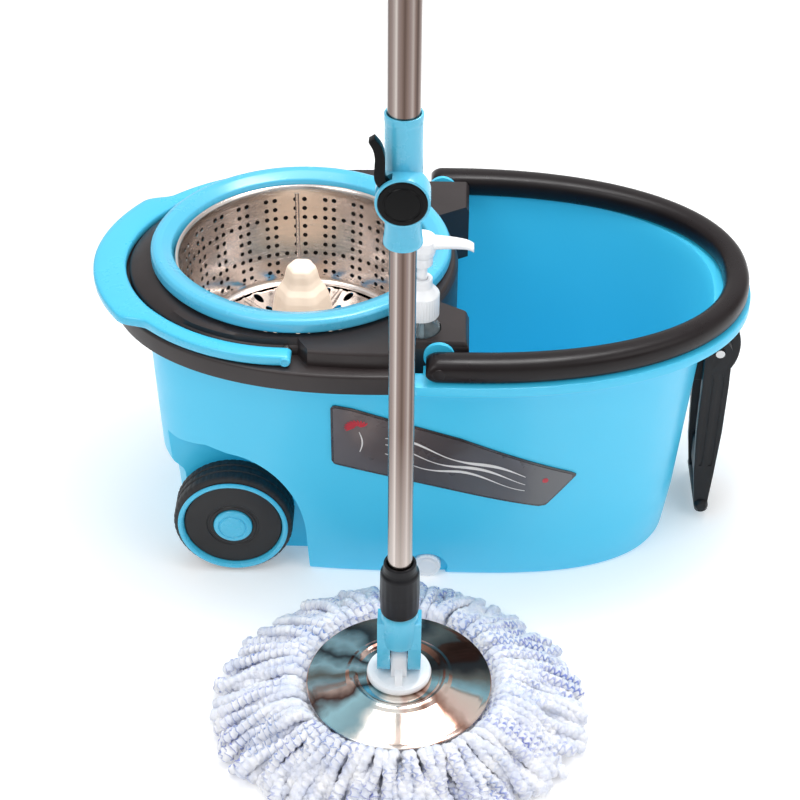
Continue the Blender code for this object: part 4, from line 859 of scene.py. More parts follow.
# ------------------------------------------------------------------ punched steel basket
def punched_basket():
    """Wall and floor are laid out in cells; a punched cell has a hole through the sheet."""
    V, F = [], []

    def wall_r(z):
        return 0.0975 + (z - 0.1670) / 0.0870 * 0.0050

    def cell(pt, a0, a1, b0, b1, hole):
        """pt(a, b, side) gives a point on the inner (0) or outer (1) face."""
        border = []
        for k in range(3):
            border.append((a0 + (a1 - a0) * k / 3, b0))
        for k in range(3):
            border.append((a1, b0 + (b1 - b0) * k / 3))
        for k in range(3):
            border.append((a1 + (a0 - a1) * k / 3, b1))
        for k in range(3):
            border.append((a0, b1 + (b0 - b1) * k / 3))
        base = len(V)
        if hole is None:
            for side in (0, 1):
                s0 = len(V)
                for j in range(4):
                    for i in range(4):
                        V.append(pt(a0 + (a1 - a0) * i / 3, b0 + (b1 - b0) * j / 3, side))
                for j in range(3):
                    for i in range(3):
                        q = s0 + j * 4 + i
                        F.append((q, q + 1, q + 5, q + 4) if side else (q, q + 4, q + 5, q + 1))
            return
        ca, cb = (a0 + a1) / 2, (b0 + b1) / 2
        ra, rb = hole
        ring = []
        for k in range(12):
            t = math.radians(-135 + 30 * k)
            ring.append((ca + ra * math.cos(t), cb + rb * math.sin(t)))
        for side in (0, 1):
            for a, b in border:
                V.append(pt(a, b, side))
            for a, b in ring:
                V.append(pt(a, b, side))
        for side in (0, 1):
            o = base + side * 24
            for k in range(12):
                l = (k + 1) % 12
                q = (o + k, o + l, o + 12 + l, o + 12 + k)
                F.append(q if side else q[::-1])
        for k in range(12):
            l = (k + 1) % 12
            F.append((base + 12 + k, base + 12 + l, base + 36 + l, base + 36 + k))

    def on_wall(a, b, side):
        r = wall_r(b) + (0.0009 if side else 0.0)
        return (BX + r * math.cos(a), r * math.sin(a), b)

    Z0, Z1, ROWS = 0.1710, 0.2535, 9
    dz = (Z1 - Z0) / ROWS
    pair = 24
    for k in range(pair):
        a = 2 * math.pi * k / pair
        w = 2 * math.pi / pair
        cuts = [a, a + w * 0.30, a + w * 0.60, a + w]
        for j in range(ROWS):
            b0, b1 = Z0 + dz * j, Z0 + dz * (j + 1)
            hr = 0.00215
            cell(on_wall, cuts[0], cuts[1], b0, b1, (hr / 0.1, hr))
            cell(on_wall, cuts[1], cuts[2], b0, b1, (hr / 0.1, hr))
            cell(on_wall, cuts[2], cuts[3], b0, b1, (hr / 0.1, hr) if j % 4 == 2 else None)

    def on_floor(a, b, side):
        return (BX + b * math.cos(a), b * math.sin(a), 0.1640 - (0.0009 if side else 0.0))

    for k in range(pair):
        a = 2 * math.pi * k / pair
        w = 2 * math.pi / pair
        cell(on_floor, a, a + w, 0.0220, 0.0480, None)
        cell(on_floor, a, a + w * 0.5, 0.0480, 0.0700, (0.0030 / 0.059, 0.0075) if k % 2 == 0 else None)
        cell(on_floor, a + w * 0.5, a + w, 0.0480, 0.0700, None)
        cell(on_floor, a, a + w * 0.5, 0.0700, 0.0920, (0.0032 / 0.081, 0.0078))
        cell(on_floor, a + w * 0.5, a + w, 0.0700, 0.0920, None)
    # curved strips that join floor, wall and rolled rim
    n = 24 * 12
    prof_in = [(0.0920, 0.1640), (0.0940, 0.1642), (0.0958, 0.1651), (0.0970, 0.1664), (wall_r(0.1680), 0.1680), (wall_r(0.1710), 0.1710)]
    prof_out = [(0.0920, 0.1631), (0.0944, 0.1632), (0.0966, 0.1643), (0.0980, 0.1660), (wall_r(0.1680) + 0.0009, 0.1680), (wall_r(0.1710) + 0.0009, 0.1710)]
    rim = [(wall_r(0.2535), 0.2535), (0.1027, 0.2550), (0.1034, 0.2590), (0.1040, 0.2608), (0.1052, 0.2617), (0.1064, 0.2617), (0.1072, 0.2608),
           (0.1072, 0.2596), (0.1066, 0.2590), (0.1058, 0.2592), (0.1052, 0.2600), (0.1046, 0.2602), (0.1042, 0.2590), (0.1036, 0.2555), (wall_r(0.2535) + 0.0009, 0.2535)]
    for prof in (prof_in, prof_out, rim):
        v, f = turn(prof, (BX, 0, 0), "Z", n, False)
        o = len(V)
        V.extend(v)
        F.extend(tuple(i + o for i in q) for q in f)
    o = build("basket_drum_sheet", V, F, M_DRUM, "basket", ("basket_drum",), 35, merge=0.00004)
    # pressed ribs on the floor and a folded seam up the wall
    RV, RF = [], []
    for k in range(12):
        a = 2 * math.pi * (k + 0.375) / 12
        ca, sa = math.cos(a), math.sin(a)
        rings = []
        for i in range(9):
            q = i / 8
            r = 0.050 + 0.0395 * q
            h = 0.0016 * math.sin(math.pi * min(1, max(0.02, q))) ** 0.5
            w = 0.0032 * (0.55 + 0.45 * math.sin(math.pi * q))
            ring = []
            for m in range(8):
                t = 2 * math.pi * m / 8
                du, dz2 = w * math.cos(t), h * math.sin(t)
                ring.append((BX + r * ca - du * sa, r * sa + du * ca, 0.1640 + dz2))
            rings.append(ring)
        v, f = skin(rings)
        o = len(RV)
        RV += v
        RF += [tuple(i + o for i in q) for q in f]
    for a in (math.radians(96), math.radians(-84)):
        rings = []
        for i in range(13):
            z = 0.1690 + 0.0860 * i / 12
            r = wall_r(z) - 0.0002
            ring = []
            for m in range(8):
                t = 2 * math.pi * m / 8
                ring.append((BX + (r + 0.0007 * math.cos(t)) * math.cos(a + 0.018 * math.sin(t)), (r + 0.0007 * math.cos(t)) * math.sin(a + 0.018 * math.sin(t)), z))
            rings.append(ring)
        v, f = skin(rings)
        o = len(RV)
        RV += v
        RF += [tuple(i + o for i in q) for q in f]
    build("basket_floor_ribs", RV, RF, M_DRUM, "basket", (), 50)


punched_basket()


def facet(r, u, t):
    """Six soft facets that fade out at the top of the cone."""
    k = 0.055 * math.cos(6 * t) * smoothstep(0.0040, 0.0120, r) * (1 - smoothstep(0.0270, 0.0303, r))
    return r * (1 + k) - 0.0003, u


lathe("hub_cone", [
    (0, 0.2472), (0.0060, 0.2472), (0.0100, 0.2464), (0.0120, 0.2445), (0.0134, 0.2400), (0.0144, 0.2340), (0.0162, 0.2290), (0.0196, 0.2245),
    (0.0222, 0.2180), (0.0238, 0.2100), (0.0250, 0.2020), (0.0264, 0.1920), (0.0292, 0.1790), (0.0304, 0.1720), (0.0304, 0.1643), (0.0276, 0.1643),
    (0.0270, 0.1700), (0.0196, 0.2080), (0.0110, 0.2270), (0.0110, 0.1660), (0.0081, 0.1660), (0.0081, 0.2330), (0, 0.2330)],
    (BX, 0, 0), M_IVORY, "basket", ("basket_hub_cone",), n=96, round_r=0.0022, seg=3, closed=False, fn=facet)


def flute(r, u, t):
    k = 0.0004 * math.cos(24 * t) if u > 0.1650 else 0.0
    return r, u + k


lathe("hub_dish", [
    (0.0308, 0.1643), (0.0450, 0.1643), (0.0458, 0.1652), (0.0452, 0.1668), (0.0435, 0.1680), (0.0308, 0.1690)],
    (BX, 0, 0), M_CLEAR, "basket", ("hub_plate",), n=144, round_r=0.0007, fn=flute)


# ------------------------------------------------------------------ carry handle
def carry_loop():
    zc, h = 0.5 * (0.2359 + 0.2572), 0.5 * (0.2572 - 0.2359)
    n_sec = 22

    def section(xi, yi, xo, yo, half=1.0):
        pts = []
        for m in range(n_sec):
            t = 2 * math.pi * m / n_sec
            c, s = math.cos(t), math.sin(t)
            n = 2.5 if s >= 0 else 3.6
            u = 0.5 - 0.5 * math.copysign(abs(c) ** (2 / n), c)
            w = math.copysign(abs(s) ** (2 / n), s)
            pts.append((xi + (xo - xi) * u, yi + (yo - yi) * u, zc + h * half * w))
        return pts

    def pt(t, a, b, n):
        c, s = math.cos(t), math.sin(t)
        return X0 + a * abs(c) ** (2 / n), b * math.copysign(abs(s) ** (2 / n), s)

    secs = []
    ends = (0.01045, 0.0102, 0.0096, 0.0085, 0.0068, 0.0046, 0.0023, 0.0)
    for e in ends:
        hh = 0.985 * math.sqrt(max(0.0, 1 - (e / 0.0105) ** 2))
        x = 0.0100 - e
        secs.append(section(x, -0.1302, x, -0.1545, max(hh, 0.08)))
    N = 96
    for i in range(N + 1):
        t = -math.pi / 2 + math.pi * i / N
        a = pt(t, 0.2245, 0.1302, 2.2)
        b = pt(t, 0.2460, 0.1545, 2.15)
        secs.append(section(*a, *b))
    for e in ends[::-1]:
        hh = 0.985 * math.sqrt(max(0.0, 1 - (e / 0.0105) ** 2))
        x = 0.0100 - e
        secs.append(section(x, 0.1302, x, 0.1545, max(hh, 0.08)))
    v, f = skin(secs)
    o = build("carry_handle_loop", v, f, M_LOOP, None)
    boolean(o, [cyl(0.0054, -0.1505, -0.122, (0.010, 0, 0.2464), "Y", 24), cyl(0.0054, 0.122, 0.1505, (0.010, 0, 0.2464), "Y", 24)])
    smooth_object(o, 35)
    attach(o, "carry_loop")
    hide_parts("carry_handle")
    # pivot bosses where the handle's ends meet the rim
    for side, tag in ((-1, "front"), (1, "rear")):
        pr = [(0, side * 0.1502), (0.0052, side * 0.1502), (0.0053, side * 0.1520), (0.0053, side * 0.1541), (0.0048, side * 0.1547), (0, side * 0.1549)]
        lathe("carry_handle_boss_" + tag, pr, (0.010, 0, 0.2464), M_LOOP, "carry_loop", (), "Y", 40, 0.0008, 3, False)


carry_loop()


# ------------------------------------------------------------------ blue deck handle
def deck_bail():
    z0, z1 = LEDGE_Z + 0.0005, 0.2541

    def inner(t):
        c, s = math.cos(t), math.sin(t)
        return Vector((-0.117 - 0.1414 * abs(c) ** (2 / 1.95), 0.1292 * math.copysign(abs(s) ** (2 / 1.95), s), 0))

    def section(p, nrm, w, k=1.0):
        zc, h = 0.5 * (z0 + z1), 0.5 * (z1 - z0) * k
        out = []
        for m in range(24):
            t = 2 * math.pi * m / 24
            c, s = math.cos(t), math.sin(t)
            n = 4.2
            u = 0.5 - 0.5 * math.copysign(abs(c) ** (2 / n), c)
            q = p + nrm * (w * u)
            out.append((q.x, q.y, zc + h * math.copysign(abs(s) ** (2 / n), s)))
        return out

    rows = []
    ends = [(-0.1132 + e, 0.93 * math.sqrt(max(0.01, 1 - (e / 0.0047) ** 2))) for e in (0.00465, 0.0044, 0.0039, 0.0030, 0.0019, 0.0008, 0.0)]
    for x, k in ends:
        rows.append(section(Vector((x, -0.1292, 0)), Vector((0, -1, 0)), 0.0150, k))
    N = 110
    for i in range(N + 1):
        t = -math.pi / 2 + math.pi * i / N
        p = inner(t)
        d = (inner(min(math.pi / 2, t + 0.01)) - inner(max(-math.pi / 2, t - 0.01))).normalized()
        nrm = Vector((-d.y, d.x, 0))
        if i in (0, N):
            nrm = Vector((0, math.copysign(1, p.y), 0))
        if nrm.dot(Vector((p.x + 0.09, p.y * 1.2, 0))) < 0:
            nrm.negate()
        g = smoothstep(0.0, 1.0, (0.088 - abs(p.y)) / 0.016)
        rows.append(section(p, nrm, 0.0150 + 0.0130 * g))
    for x, k in ends[::-1]:
        rows.append(section(Vector((x, 0.1292, 0)), Vector((0, 1, 0)), 0.0150, k))
    v, f = skin(rows)
    o = build("deck_handle_bail", v, f, M_RIM, None)
    # the pin holes
    cuts = [cyl(0.0033, -0.140, -0.124, (-0.1132, 0, 0.2488), "Y", 24), cyl(0.0033, 0.124, 0.140, (-0.1132, 0, 0.2488), "Y", 24)]
    boolean(o, cuts)
    smooth_object(o, 35)
    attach(o, "deck_bail")
    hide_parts("deck_handle")
    for side, tag in ((-1, "front"), (1, "rear")):
        pr = [(0, side * 0.1390), (0.0038, side * 0.1390), (0.0042, side * 0.1440), (0.0042, side * 0.1447), (0.0036, side * 0.1453), (0.0024, side * 0.1453),
              (0.0021, side * 0.1446), (0, side * 0.1446)]
        lathe("deck_handle_boss_" + tag, pr, (-0.1132, 0, 0.2488), M_RIM, "deck_bail", (), "Y", 40, 0.0003, 2, False)


deck_bail()


# ------------------------------------------------------------------ wheels
def wheels():
    for side, tag in ((-1, "front"), (1, "rear")):
        c = (WX, 0, WZ)
        body = "wheel_" + tag

        def sp(profile):
            return [(r, side * (0.0870 + u)) for r, u in profile]

        def tread(r, u, t):
            if r < 0.0480:
                return r, u
            k = 0.5 + 0.5 * math.cos(48 * t)
            return r - 0.0003 * (1 - smoothstep(0.15, 0.5, k)), u

        lathe("tyre_" + tag + "_rubber", sp([
            (0.0455, 0.0010), (0.0455, 0.0307), (0.0470, 0.0309), (0.0490, 0.0306), (0.0508, 0.0292), (0.0517, 0.0272), (0.0517, 0.0210), (0.0509, 0.0205),
            (0.0509, 0.0185), (0.0517, 0.0180), (0.0517, 0.0130), (0.0509, 0.0125), (0.0509, 0.0105), (0.0517, 0.0100),
            (0.0517, 0.0045), (0.0505, 0.0020), (0.0490, 0.0010)]), c, M_TYRE, body, ("tyre_" + tag,), "Y", 384, 0.0004, 2, fn=tread)
        lathe("wheel_ring_" + tag, sp([
            (0.0050, 0.0140), (0.0050, 0.0255), (0.0105, 0.0255), (0.0105, 0.0175), (0.0424, 0.0175), (0.0427, 0.0300),
            (0.0437, 0.0326), (0.0449, 0.0336), (0.0464, 0.0336), (0.0476, 0.0330), (0.0479, 0.0319), (0.0476, 0.0311), (0.0452, 0.0311), (0.0452, 0.0010),
            (0.0426, 0.0010), (0.0426, 0.0140)]), c, M_RIM, body, ("wheel_rim_" + tag,), "Y", 128, 0.0006, 3)
        lathe("hub_disc_" + tag + "_face", sp([
            (0.0172, 0.0262), (0.0421, 0.0262), (0.0423, 0.0294), (0.0414, 0.0299), (0.0330, 0.0302),
            (0.0230, 0.0306), (0.0224, 0.0298), (0.0206, 0.0298), (0.0200, 0.0307), (0.0172, 0.0308)]),
            c, M_DISCB, body, ("hub_disc_" + tag,), "Y", 128, 0.0006, 3)
        lathe("centre_cap_" + tag + "_dome", sp([
            (0, 0.0290), (0.0168, 0.0290), (0.0168, 0.0318), (0.0160, 0.0328), (0.0138, 0.0335), (0.0126, 0.0337), (0.0121, 0.0329), (0.0112, 0.0329), (0.0107, 0.0339), (0.0060, 0.0342), (0, 0.0342)]),
            c, M_RIM, body, ("centre_cap_" + tag,), "Y", 96, 0.0006, 3, False)


wheels()


# ------------------------------------------------------------------ tow handle
def tow_parts():
    def tub_end_x(z):
        return X0 + lerp_rows(TUB, z)[1]

    back = [(tub_end_x(z) + 0.0006, z) for z in (0.141, 0.165, 0.190, 0.2050)]
    nose = []
    for i in range(25):
        t = math.radians(80 - 150 * i / 24)
        nose.append((0.2515 + 0.0205 * math.cos(t), 0.1800 + 0.0300 * math.sin(t) - 0.0055 * (i / 24)))
    v, f = prism(back + [(0.2445, 0.2085)] + nose + [(0.2480, 0.1410)], -0.0120, 0.0120)
    o = build("tow_bracket_lug", v, f, M_TOW, None)
    boolean(o, [cyl(0.0043, -0.02, 0.02, (0.2515, 0, 0.1850), "Y", 32)])
    bevel(o, 0.0016, 3, 40)
    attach(o, "bucket")
    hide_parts("tow_bracket")

    px, pz = 0.2515, 0.1850

    def outline(g=0.0):
        pts = []
        for i in range(17):
            t = math.radians(180 - 180 * i / 16)
            pts.append((px + (0.0115 - g) * math.cos(t) - 0.001, pz + (0.0115 - g) * math.sin(t)))
        right = [(0.2625 - g, 0.150), (0.2618 - g, 0.100), (0.2590 - g, 0.050), (0.2565 - g, 0.014 + g)]
        bottom = [(0.2515 + (0.0062 - g) * math.cos(math.radians(-20 - 17.5 * i)), 0.0120 + (0.0062 - g) * math.sin(math.radians(-20 - 17.5 * i))) for i in range(9)]
        left = [(0.2440 + g, 0.026 + g), (0.2415 + g, 0.050), (0.2395 + g, 0.100), (0.2396 + g, 0.150)]
        return pts + right + bottom + left

    grip = []
    for i in range(25):
        y = -0.0350 + 0.0700 * i / 24
        r = 0.0065 * (1 - 0.35 * smoothstep(0.0318, 0.0350, abs(y)))
        grip.append([(0.2512 + r * math.cos(2 * math.pi * m / 24), y, 0.0145 + r * math.sin(2 * math.pi * m / 24)) for m in range(24)])
    v, f = prism(outline(), -0.0310, -0.0225)
    o = build("tow_handle_frame", v, f, M_TOW, None)
    web = [(0.2455, 0.030), (0.2575, 0.030), (0.2590, 0.052), (0.2570, 0.064), (0.2490, 0.064), (0.2450, 0.052)]
    boolean(o, [prism(outline(), 0.0225, 0.0310), skin(grip), prism(web, -0.0260, 0.0260)], "UNION")
    # long grooves down both faces of each arm
    cuts = []
    for y0, y1 in ((-0.0322, -0.0302), (0.0302, 0.0322)):
        for xa, xb in ((0.2440, 0.2480), (0.2525, 0.2570)):
            k = 0.0008
            cuts.append(prism([(xa + k, 0.060), (xb - k, 0.060), (xb, 0.068), (xb + 0.0008, 0.155), (xb - k, 0.163), (xa + k, 0.163), (xa, 0.155), (xa - 0.0002, 0.068)], y0, y1))
    for y in (-0.0268,):
        for s in (1, -1):
            yy = y * s
            cuts.append(prism([(yy - 0.0016, 0.070), (yy + 0.0016, 0.070), (yy + 0.0016, 0.160), (yy - 0.0016, 0.160)], 0.2608, 0.2660, "X"))
    cuts.append(cyl(0.0043, -0.05, 0.05, (px, 0, pz), "Y", 32))
    boolean(o, cuts)
    bevel(o, 0.0011, 3, 40)
    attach(o, "tow_frame")
    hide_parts("tow_handle")


tow_parts()

# ------------------------------------------------------------------ drain
def grip_ribs(r, u, t):
    return (r - 0.0004 * (0.5 + 0.5 * math.cos(20 * t)) if r > 0.0112 else r), u


lathe("drain_cap_body", [
    (0, -0.1215), (0.0070, -0.1215), (0.0078, -0.1208), (0.0092, -0.1208), (0.0105, -0.1215), (0.0116, -0.1211), (0.0121, -0.1198), (0.0121, -0.1135),
    (0.0071, -0.1135), (0.0071, -0.1070), (0, -0.1070)], (0.0036, 0, 0.0125), M_WHITE, "drain", ("drain_cap",), "Y", 120, 0.0006, 3, False, fn=grip_ribs)

# ------------------------------------------------------------------ soap pump
lathe("soap_bottle_body", [
    (0, 0.1715), (0.0125, 0.1715), (0.0155, 0.1745), (0.0155, 0.2560), (0.0148, 0.2605), (0.0120, 0.2655), (0.0090, 0.2690),
    (0.0090, 0.2860), (0.0076, 0.2860), (0.0076, 0.2680), (0.0141, 0.2570), (0.0141, 0.1755),
    (0.0118, 0.1730), (0, 0.1730)], (CUPX, CUPY, 0), M_CLEAR, "soap_unit", ("soap_bottle",), n=72, round_r=0.0012, seg=3, closed=False)
lathe("soap_liquid", [
    (0, 0.1732), (0.0112, 0.1732), (0.0139, 0.1758), (0.0139, 0.2440), (0.0136, 0.2450), (0.0024, 0.2446), (0.0024, 0.1750), (0, 0.1750)],
    (CUPX, CUPY, 0), M_SOAP, "soap_unit", (), n=72, round_r=0.0006, seg=2, closed=False)


def fine_ribs(r, u, t):
    return (r - 0.00035 * (0.5 + 0.5 * math.cos(36 * t)) if r > 0.0138 and u < 0.2915 else r), u


lathe("pump_collar_cap", [
    (0.0093, 0.2705), (0.0141, 0.2705), (0.0145, 0.2712), (0.0145, 0.2912), (0.0137, 0.2924), (0.0088, 0.2980), (0.0085, 0.2990), (0.0085, 0.3055), (0.0081, 0.3060),
    (0.0048, 0.3060), (0.0048, 0.2910), (0.0066, 0.2880), (0.0093, 0.2865)],
    (CUPX, CUPY, 0), M_WHITE, "soap_unit", ("pump_collar",), n=180, round_r=0.0006, seg=3, fn=fine_ribs)


def pump_head():
    pr = soften([(0, 0.3452), (0.0060, 0.3452), (0.0098, 0.3447), (0.0112, 0.3428), (0.0110, 0.3340), (0.0100, 0.3290), (0.0086, 0.3270), (0.0084, 0.3190), (0.0050, 0.3190),
                 (0.0050, 0.3290), (0, 0.3296)], 0.0008, 3, False)
    v, f = turn(pr, (CUPX, CUPY, 0), "Z", 64, False)
    o = build("pump_head_cap", v, f, M_WHITE, None)
    rings = []
    for i in range(29):
        k = i / 28
        x = CUPX + 0.003 + (0.0405 - 0.003) * k
        zc = 0.3392 + 0.0010 * math.sin(math.pi * k) - 0.0022 * k - 0.0022 * max(0, k - 0.80) ** 2 / 0.04
        hw = 0.0080 - 0.0036 * k
        hh = 0.0056 - 0.0022 * k
        rings.append([(x, CUPY + hw * math.cos(2 * math.pi * j / 24), zc + hh * math.sin(2 * math.pi * j / 24)) for j in range(24)])
    boolean(o, [skin(rings)], "UNION")
    smooth_object(o, 50)
    boolean(o, [cyl(0.0014, 0.012, 0.050, (CUPX + 0.0, CUPY, 0.3309), "X", 20)])
    smooth_object(o, 50)
    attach(o, "pump_plunger")
    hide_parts("pump_head")


pump_head()


# ------------------------------------------------------------------ badge on the front wall
def badge():
    """A curved plate with a raised rim, a plain drop and wave picture and no lettering."""
    top = [(-0.078, 0.1955), (-0.0765, 0.1982), (-0.074, 0.1990), (-0.060, 0.1965), (0.030, 0.166), (0.1235, 0.1236), (0.128, 0.1205)]
    low = [(-0.078, 0.1380), (-0.0765, 0.1346), (-0.074, 0.1333), (0.094, 0.0876), (0.098, 0.0868), (0.104, 0.0878), (0.128, 0.1188)]

    def at(line, x):
        for a, b in zip(line, line[1:]):
            if a[0] <= x <= b[0]:
                return a[1] + (b[1] - a[1]) * (x - a[0]) / (b[0] - a[0])
        return line[-1][1]

    def out(x, z, d):
        return (x, tub_wall_y(x, z) - d, z)

    def plate(shrink, d0, d1, name, mat, nodes=()):
        lo_x, hi_x = -0.078 + shrink, 0.128 - shrink * 1.6
        NU, NV = 110, 14
        V, F = [], []
        idx = {}
        for i in range(NU + 1):
            x = lo_x + (hi_x - lo_x) * i / NU
            z0, z1 = at(low, x) + shrink * 1.05, at(top, x) - shrink * 1.1
            if z1 < z0:
                z0 = z1 = 0.5 * (z0 + z1)
            for j in range(NV + 1):
                z = z0 + (z1 - z0) * j / NV
                for k, d in enumerate((d0, d1)):
                    idx[i, j, k] = len(V)
                    V.append(out(x, z, d))
        for i in range(NU):
            for j in range(NV):
                for k in (0, 1):
                    q = (idx[i, j, k], idx[i + 1, j, k], idx[i + 1, j + 1, k], idx[i, j + 1, k])
                    F.append(q if k else q[::-1])
        rim = [(i, 0) for i in range(NU)] + [(NU, j) for j in range(NV)] + [(i, NV) for i in range(NU, 0, -1)] + [(0, j) for j in range(NV, 0, -1)]
        for a, b in zip(rim, rim[1:] + rim[:1]):
            F.append((idx[a[0], a[1], 0], idx[b[0], b[1], 0], idx[b[0], b[1], 1], idx[a[0], a[1], 1]))
        return build(name, V, F, mat, "bucket", nodes, 30)

    rim_m = Mat("badge_rim_film", Roughness=0.25)
    rim_m.set("Coat Weight", 0.5)
    n = rim_m.noise(60.0, 3.0)
    rim_m.color(rim_m.mix(n, srgb("#262324"), srgb("#343031")))
    plate(0.0, 0.0004, 0.0013, "badge_rim", rim_m.m, ("badge_plate",))
    plate(0.0021, 0.0010, 0.0017, "badge_face", M_BADGE)

    def film(name, a, b, rough=0.35):
        m = Mat(name, Roughness=rough)
        n2 = m.noise(90.0, 3.0)
        m.color(m.mix(n2, srgb(a), srgb(b)))
        return m.m

    red = film("badge_print_red", "#c5283a", "#a81e30")
    pale = film("badge_print_pale", "#e9e6e4", "#cfccca")

    def ribbon(name, pts, widths, mat):
        """A flat printed stroke that follows the curved wall."""
        V, F = [], []
        for i, (p, w) in enumerate(zip(pts, widths)):
            a = Vector(pts[max(0, i - 1)])
            b = Vector(pts[min(len(pts) - 1, i + 1)])
            d = (b - a).normalized()
            nx, nz = -d.y, d.x
            for s in (-0.5, 0.5):
                for dd in (0.00165, 0.00195):
                    V.append(out(p[0] + nx * w * s, p[1] + nz * w * s, dd))
        for i in range(len(pts) - 1):
            o = i * 4
            for q in ((0, 2, 6, 4), (1, 5, 7, 3), (0, 4, 5, 1), (2, 3, 7, 6)):
                F.append(tuple(o + k for k in q))
        e = (len(pts) - 1) * 4
        F.append((0, 1, 3, 2))
        F.append((e, e + 2, e + 3, e + 1))
        return build(name, V, F, mat, "bucket", (), 60)

    # a fan of red drops over a thin curled stem
    cx, cz = -0.0560, 0.1765
    for i in range(11):
        t = math.radians(20 + 17 * i)
        pts = [(cx + (0.0022 + 0.0088 * q) * math.cos(t + 0.35 * q), cz + (0.0016 + 0.0066 * q) * math.sin(t + 0.35 * q)) for q in [k / 6 for k in range(7)]]
        ribbon("badge_drop_%02d" % i, pts, [0.0004, 0.0010, 0.0015, 0.0018, 0.0018, 0.0014, 0.0005], red)
    stem = [(-0.0545 + 0.0025 * math.sin(q * 3.0), 0.1715 - 0.022 * q) for q in [k / 14 for k in range(15)]]
    ribbon("badge_stem", stem, [0.0006 + 0.0006 * math.sin(math.pi * k / 14) for k in range(15)], pale)
    # three flowing waves, thick in the middle and fine at the ends
    for j in range(3):
        pts, ws = [], []
        for k in range(61):
            q = k / 60
            x = -0.0330 + 0.1180 * q
            mid = 0.5 * (at(low, x) + at(top, x))
            z = mid + (1 - j) * 0.0105 * (1 - 0.35 * q) + 0.0042 * math.sin(2 * math.pi * (1.5 * q + 0.16 * j)) * (1 - 0.4 * q)
            pts.append((x, z))
            ws.append(0.0005 + (0.0034 - 0.0007 * j) * math.sin(math.pi * q) ** 0.8 * (0.55 + 0.45 * math.sin(2 * math.pi * (1.5 * q + 0.16 * j) + 0.7)))
        ribbon("badge_wave_%d" % j, pts, ws, pale)
    dot = [(0.1020 + 0.0030 * (k / 8 - 0.5), 0.1190 - 0.004 * (k / 8)) for k in range(9)]
    ribbon("badge_tail_mark", dot, [0.0010, 0.0032, 0.0046, 0.0052, 0.0054, 0.0052, 0.0046, 0.0032, 0.0010], red)


badge()

# ================================================================== mop
MO = (MX, MY, 0)


lathe("disc_cover_plate", [
    (0.0738, 0.0405), (0.0744, 0.0412), (0.0738, 0.0424), (0.0700, 0.0428), (0.0670, 0.0434), (0.0600, 0.0451), (0.0500, 0.0474), (0.0430, 0.0491), (0.0400, 0.0508), (0.0375, 0.0516),
    (0.0350, 0.0508), (0.0328, 0.0497), (0.0200, 0.0492), (0.0120, 0.0490), (0.0120, 0.0480), (0.0332, 0.0486),
    (0.0375, 0.0501), (0.0415, 0.0482), (0.0666, 0.0424), (0.0700, 0.0418)],
    MO, M_DISC, "mop_head", ("disc_cover",), n=180, round_r=0.0014, seg=4)


def hub():
    pr = soften([(0, 0.0300), (0.0076, 0.0300), (0.0076, 0.0403), (0.0112, 0.0403), (0.0112, 0.0504), (0.0255, 0.0506), (0.0258, 0.0532), (0.0248, 0.0556),
                 (0.0200, 0.0564), (0, 0.0566)], 0.0007, 3, False)
    v, f = turn(pr, MO, "Z", 72, False)
    o = build("head_hub_body", v, f, M_WHITE, None)
    tongue = [(-0.0105, 0.0540), (0.0105, 0.0540)]
    for i in range(17):
        t = math.radians(180 * i / 16)
        tongue.append((0.0092 * math.cos(t), PIV + 0.0092 * math.sin(t)))
    cuts = [skin([[(MX - 0.0062, MY + a, b) for a, b in tongue], [(MX + 0.0062, MY + a, b) for a, b in tongue]])]
    # strengthening gussets either side of the tongue
    for s in (-1, 1):
        g = [(s * 0.0085, 0.0550), (s * 0.0205, 0.0550), (s * 0.0195, 0.0580), (s * 0.0100, 0.0640), (s * 0.0085, 0.0640)]
        cuts.append(skin([[(MX - 0.0030, MY + a, b) for a, b in g], [(MX + 0.0030, MY + a, b) for a, b in g]]))
    boolean(o, cuts, "UNION")
    boolean(o, [cyl(0.0035, -0.03, 0.03, (MX, MY, PIV), "X", 32)])
    bevel(o, 0.0007, 2, 40)
    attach(o, "mop_head")
    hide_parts("head_hub")


hub()


def yoke():
    def prong(x0, x1):
        pts = []
        for i in range(17):
            t = math.radians(-180 * i / 16)
            pts.append((0.0118 * math.cos(t), PIV + 0.0118 * math.sin(t)))
        pts += [(-0.0118, 0.0880), (-0.0100, 0.0960), (-0.0090, 0.1120), (0.0090, 0.1120), (0.0100, 0.0960), (0.0118, 0.0880)]
        return skin([[(MX + x0, MY + a, b) for a, b in pts], [(MX + x1, MY + a, b) for a, b in pts]])

    v, f = prong(-0.0172, -0.0070)
    o = build("yoke_fork", v, f, M_COLLAR, None)
    crown = turn([(0, 0.0860), (0.0130, 0.0860), (0.0146, 0.0882), (0.0150, 0.0900), (0.0150, 0.1140), (0.0142, 0.1168), (0.0125, 0.1190), (0.0081, 0.1190),
                  (0.0081, 0.1500), (0, 0.1500)], MO, "Z", 64, False)
    boolean(o, [prong(0.0070, 0.0172), crown], "UNION")
    bevel(o, 0.0012, 3, 40)
    # a shallow round recess on each prong round the pin's end
    boolean(o, [cyl(0.0036, -0.03, 0.03, (MX, MY, PIV), "X", 32),
                cyl(0.0060, -0.03, -0.0166, (MX, MY, PIV), "X", 40), cyl(0.0060, 0.0166, 0.03, (MX, MY, PIV), "X", 40)])
    smooth_object(o, 35)
    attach(o, "lower_mop")
    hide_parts("yoke")


yoke()


def sleeve_grip(r, u, t):
    return (r - 0.0003 * (0.5 + 0.5 * math.cos(18 * t)) if 0.1245 < u < 0.1570 and r > 0.0140 else r), u


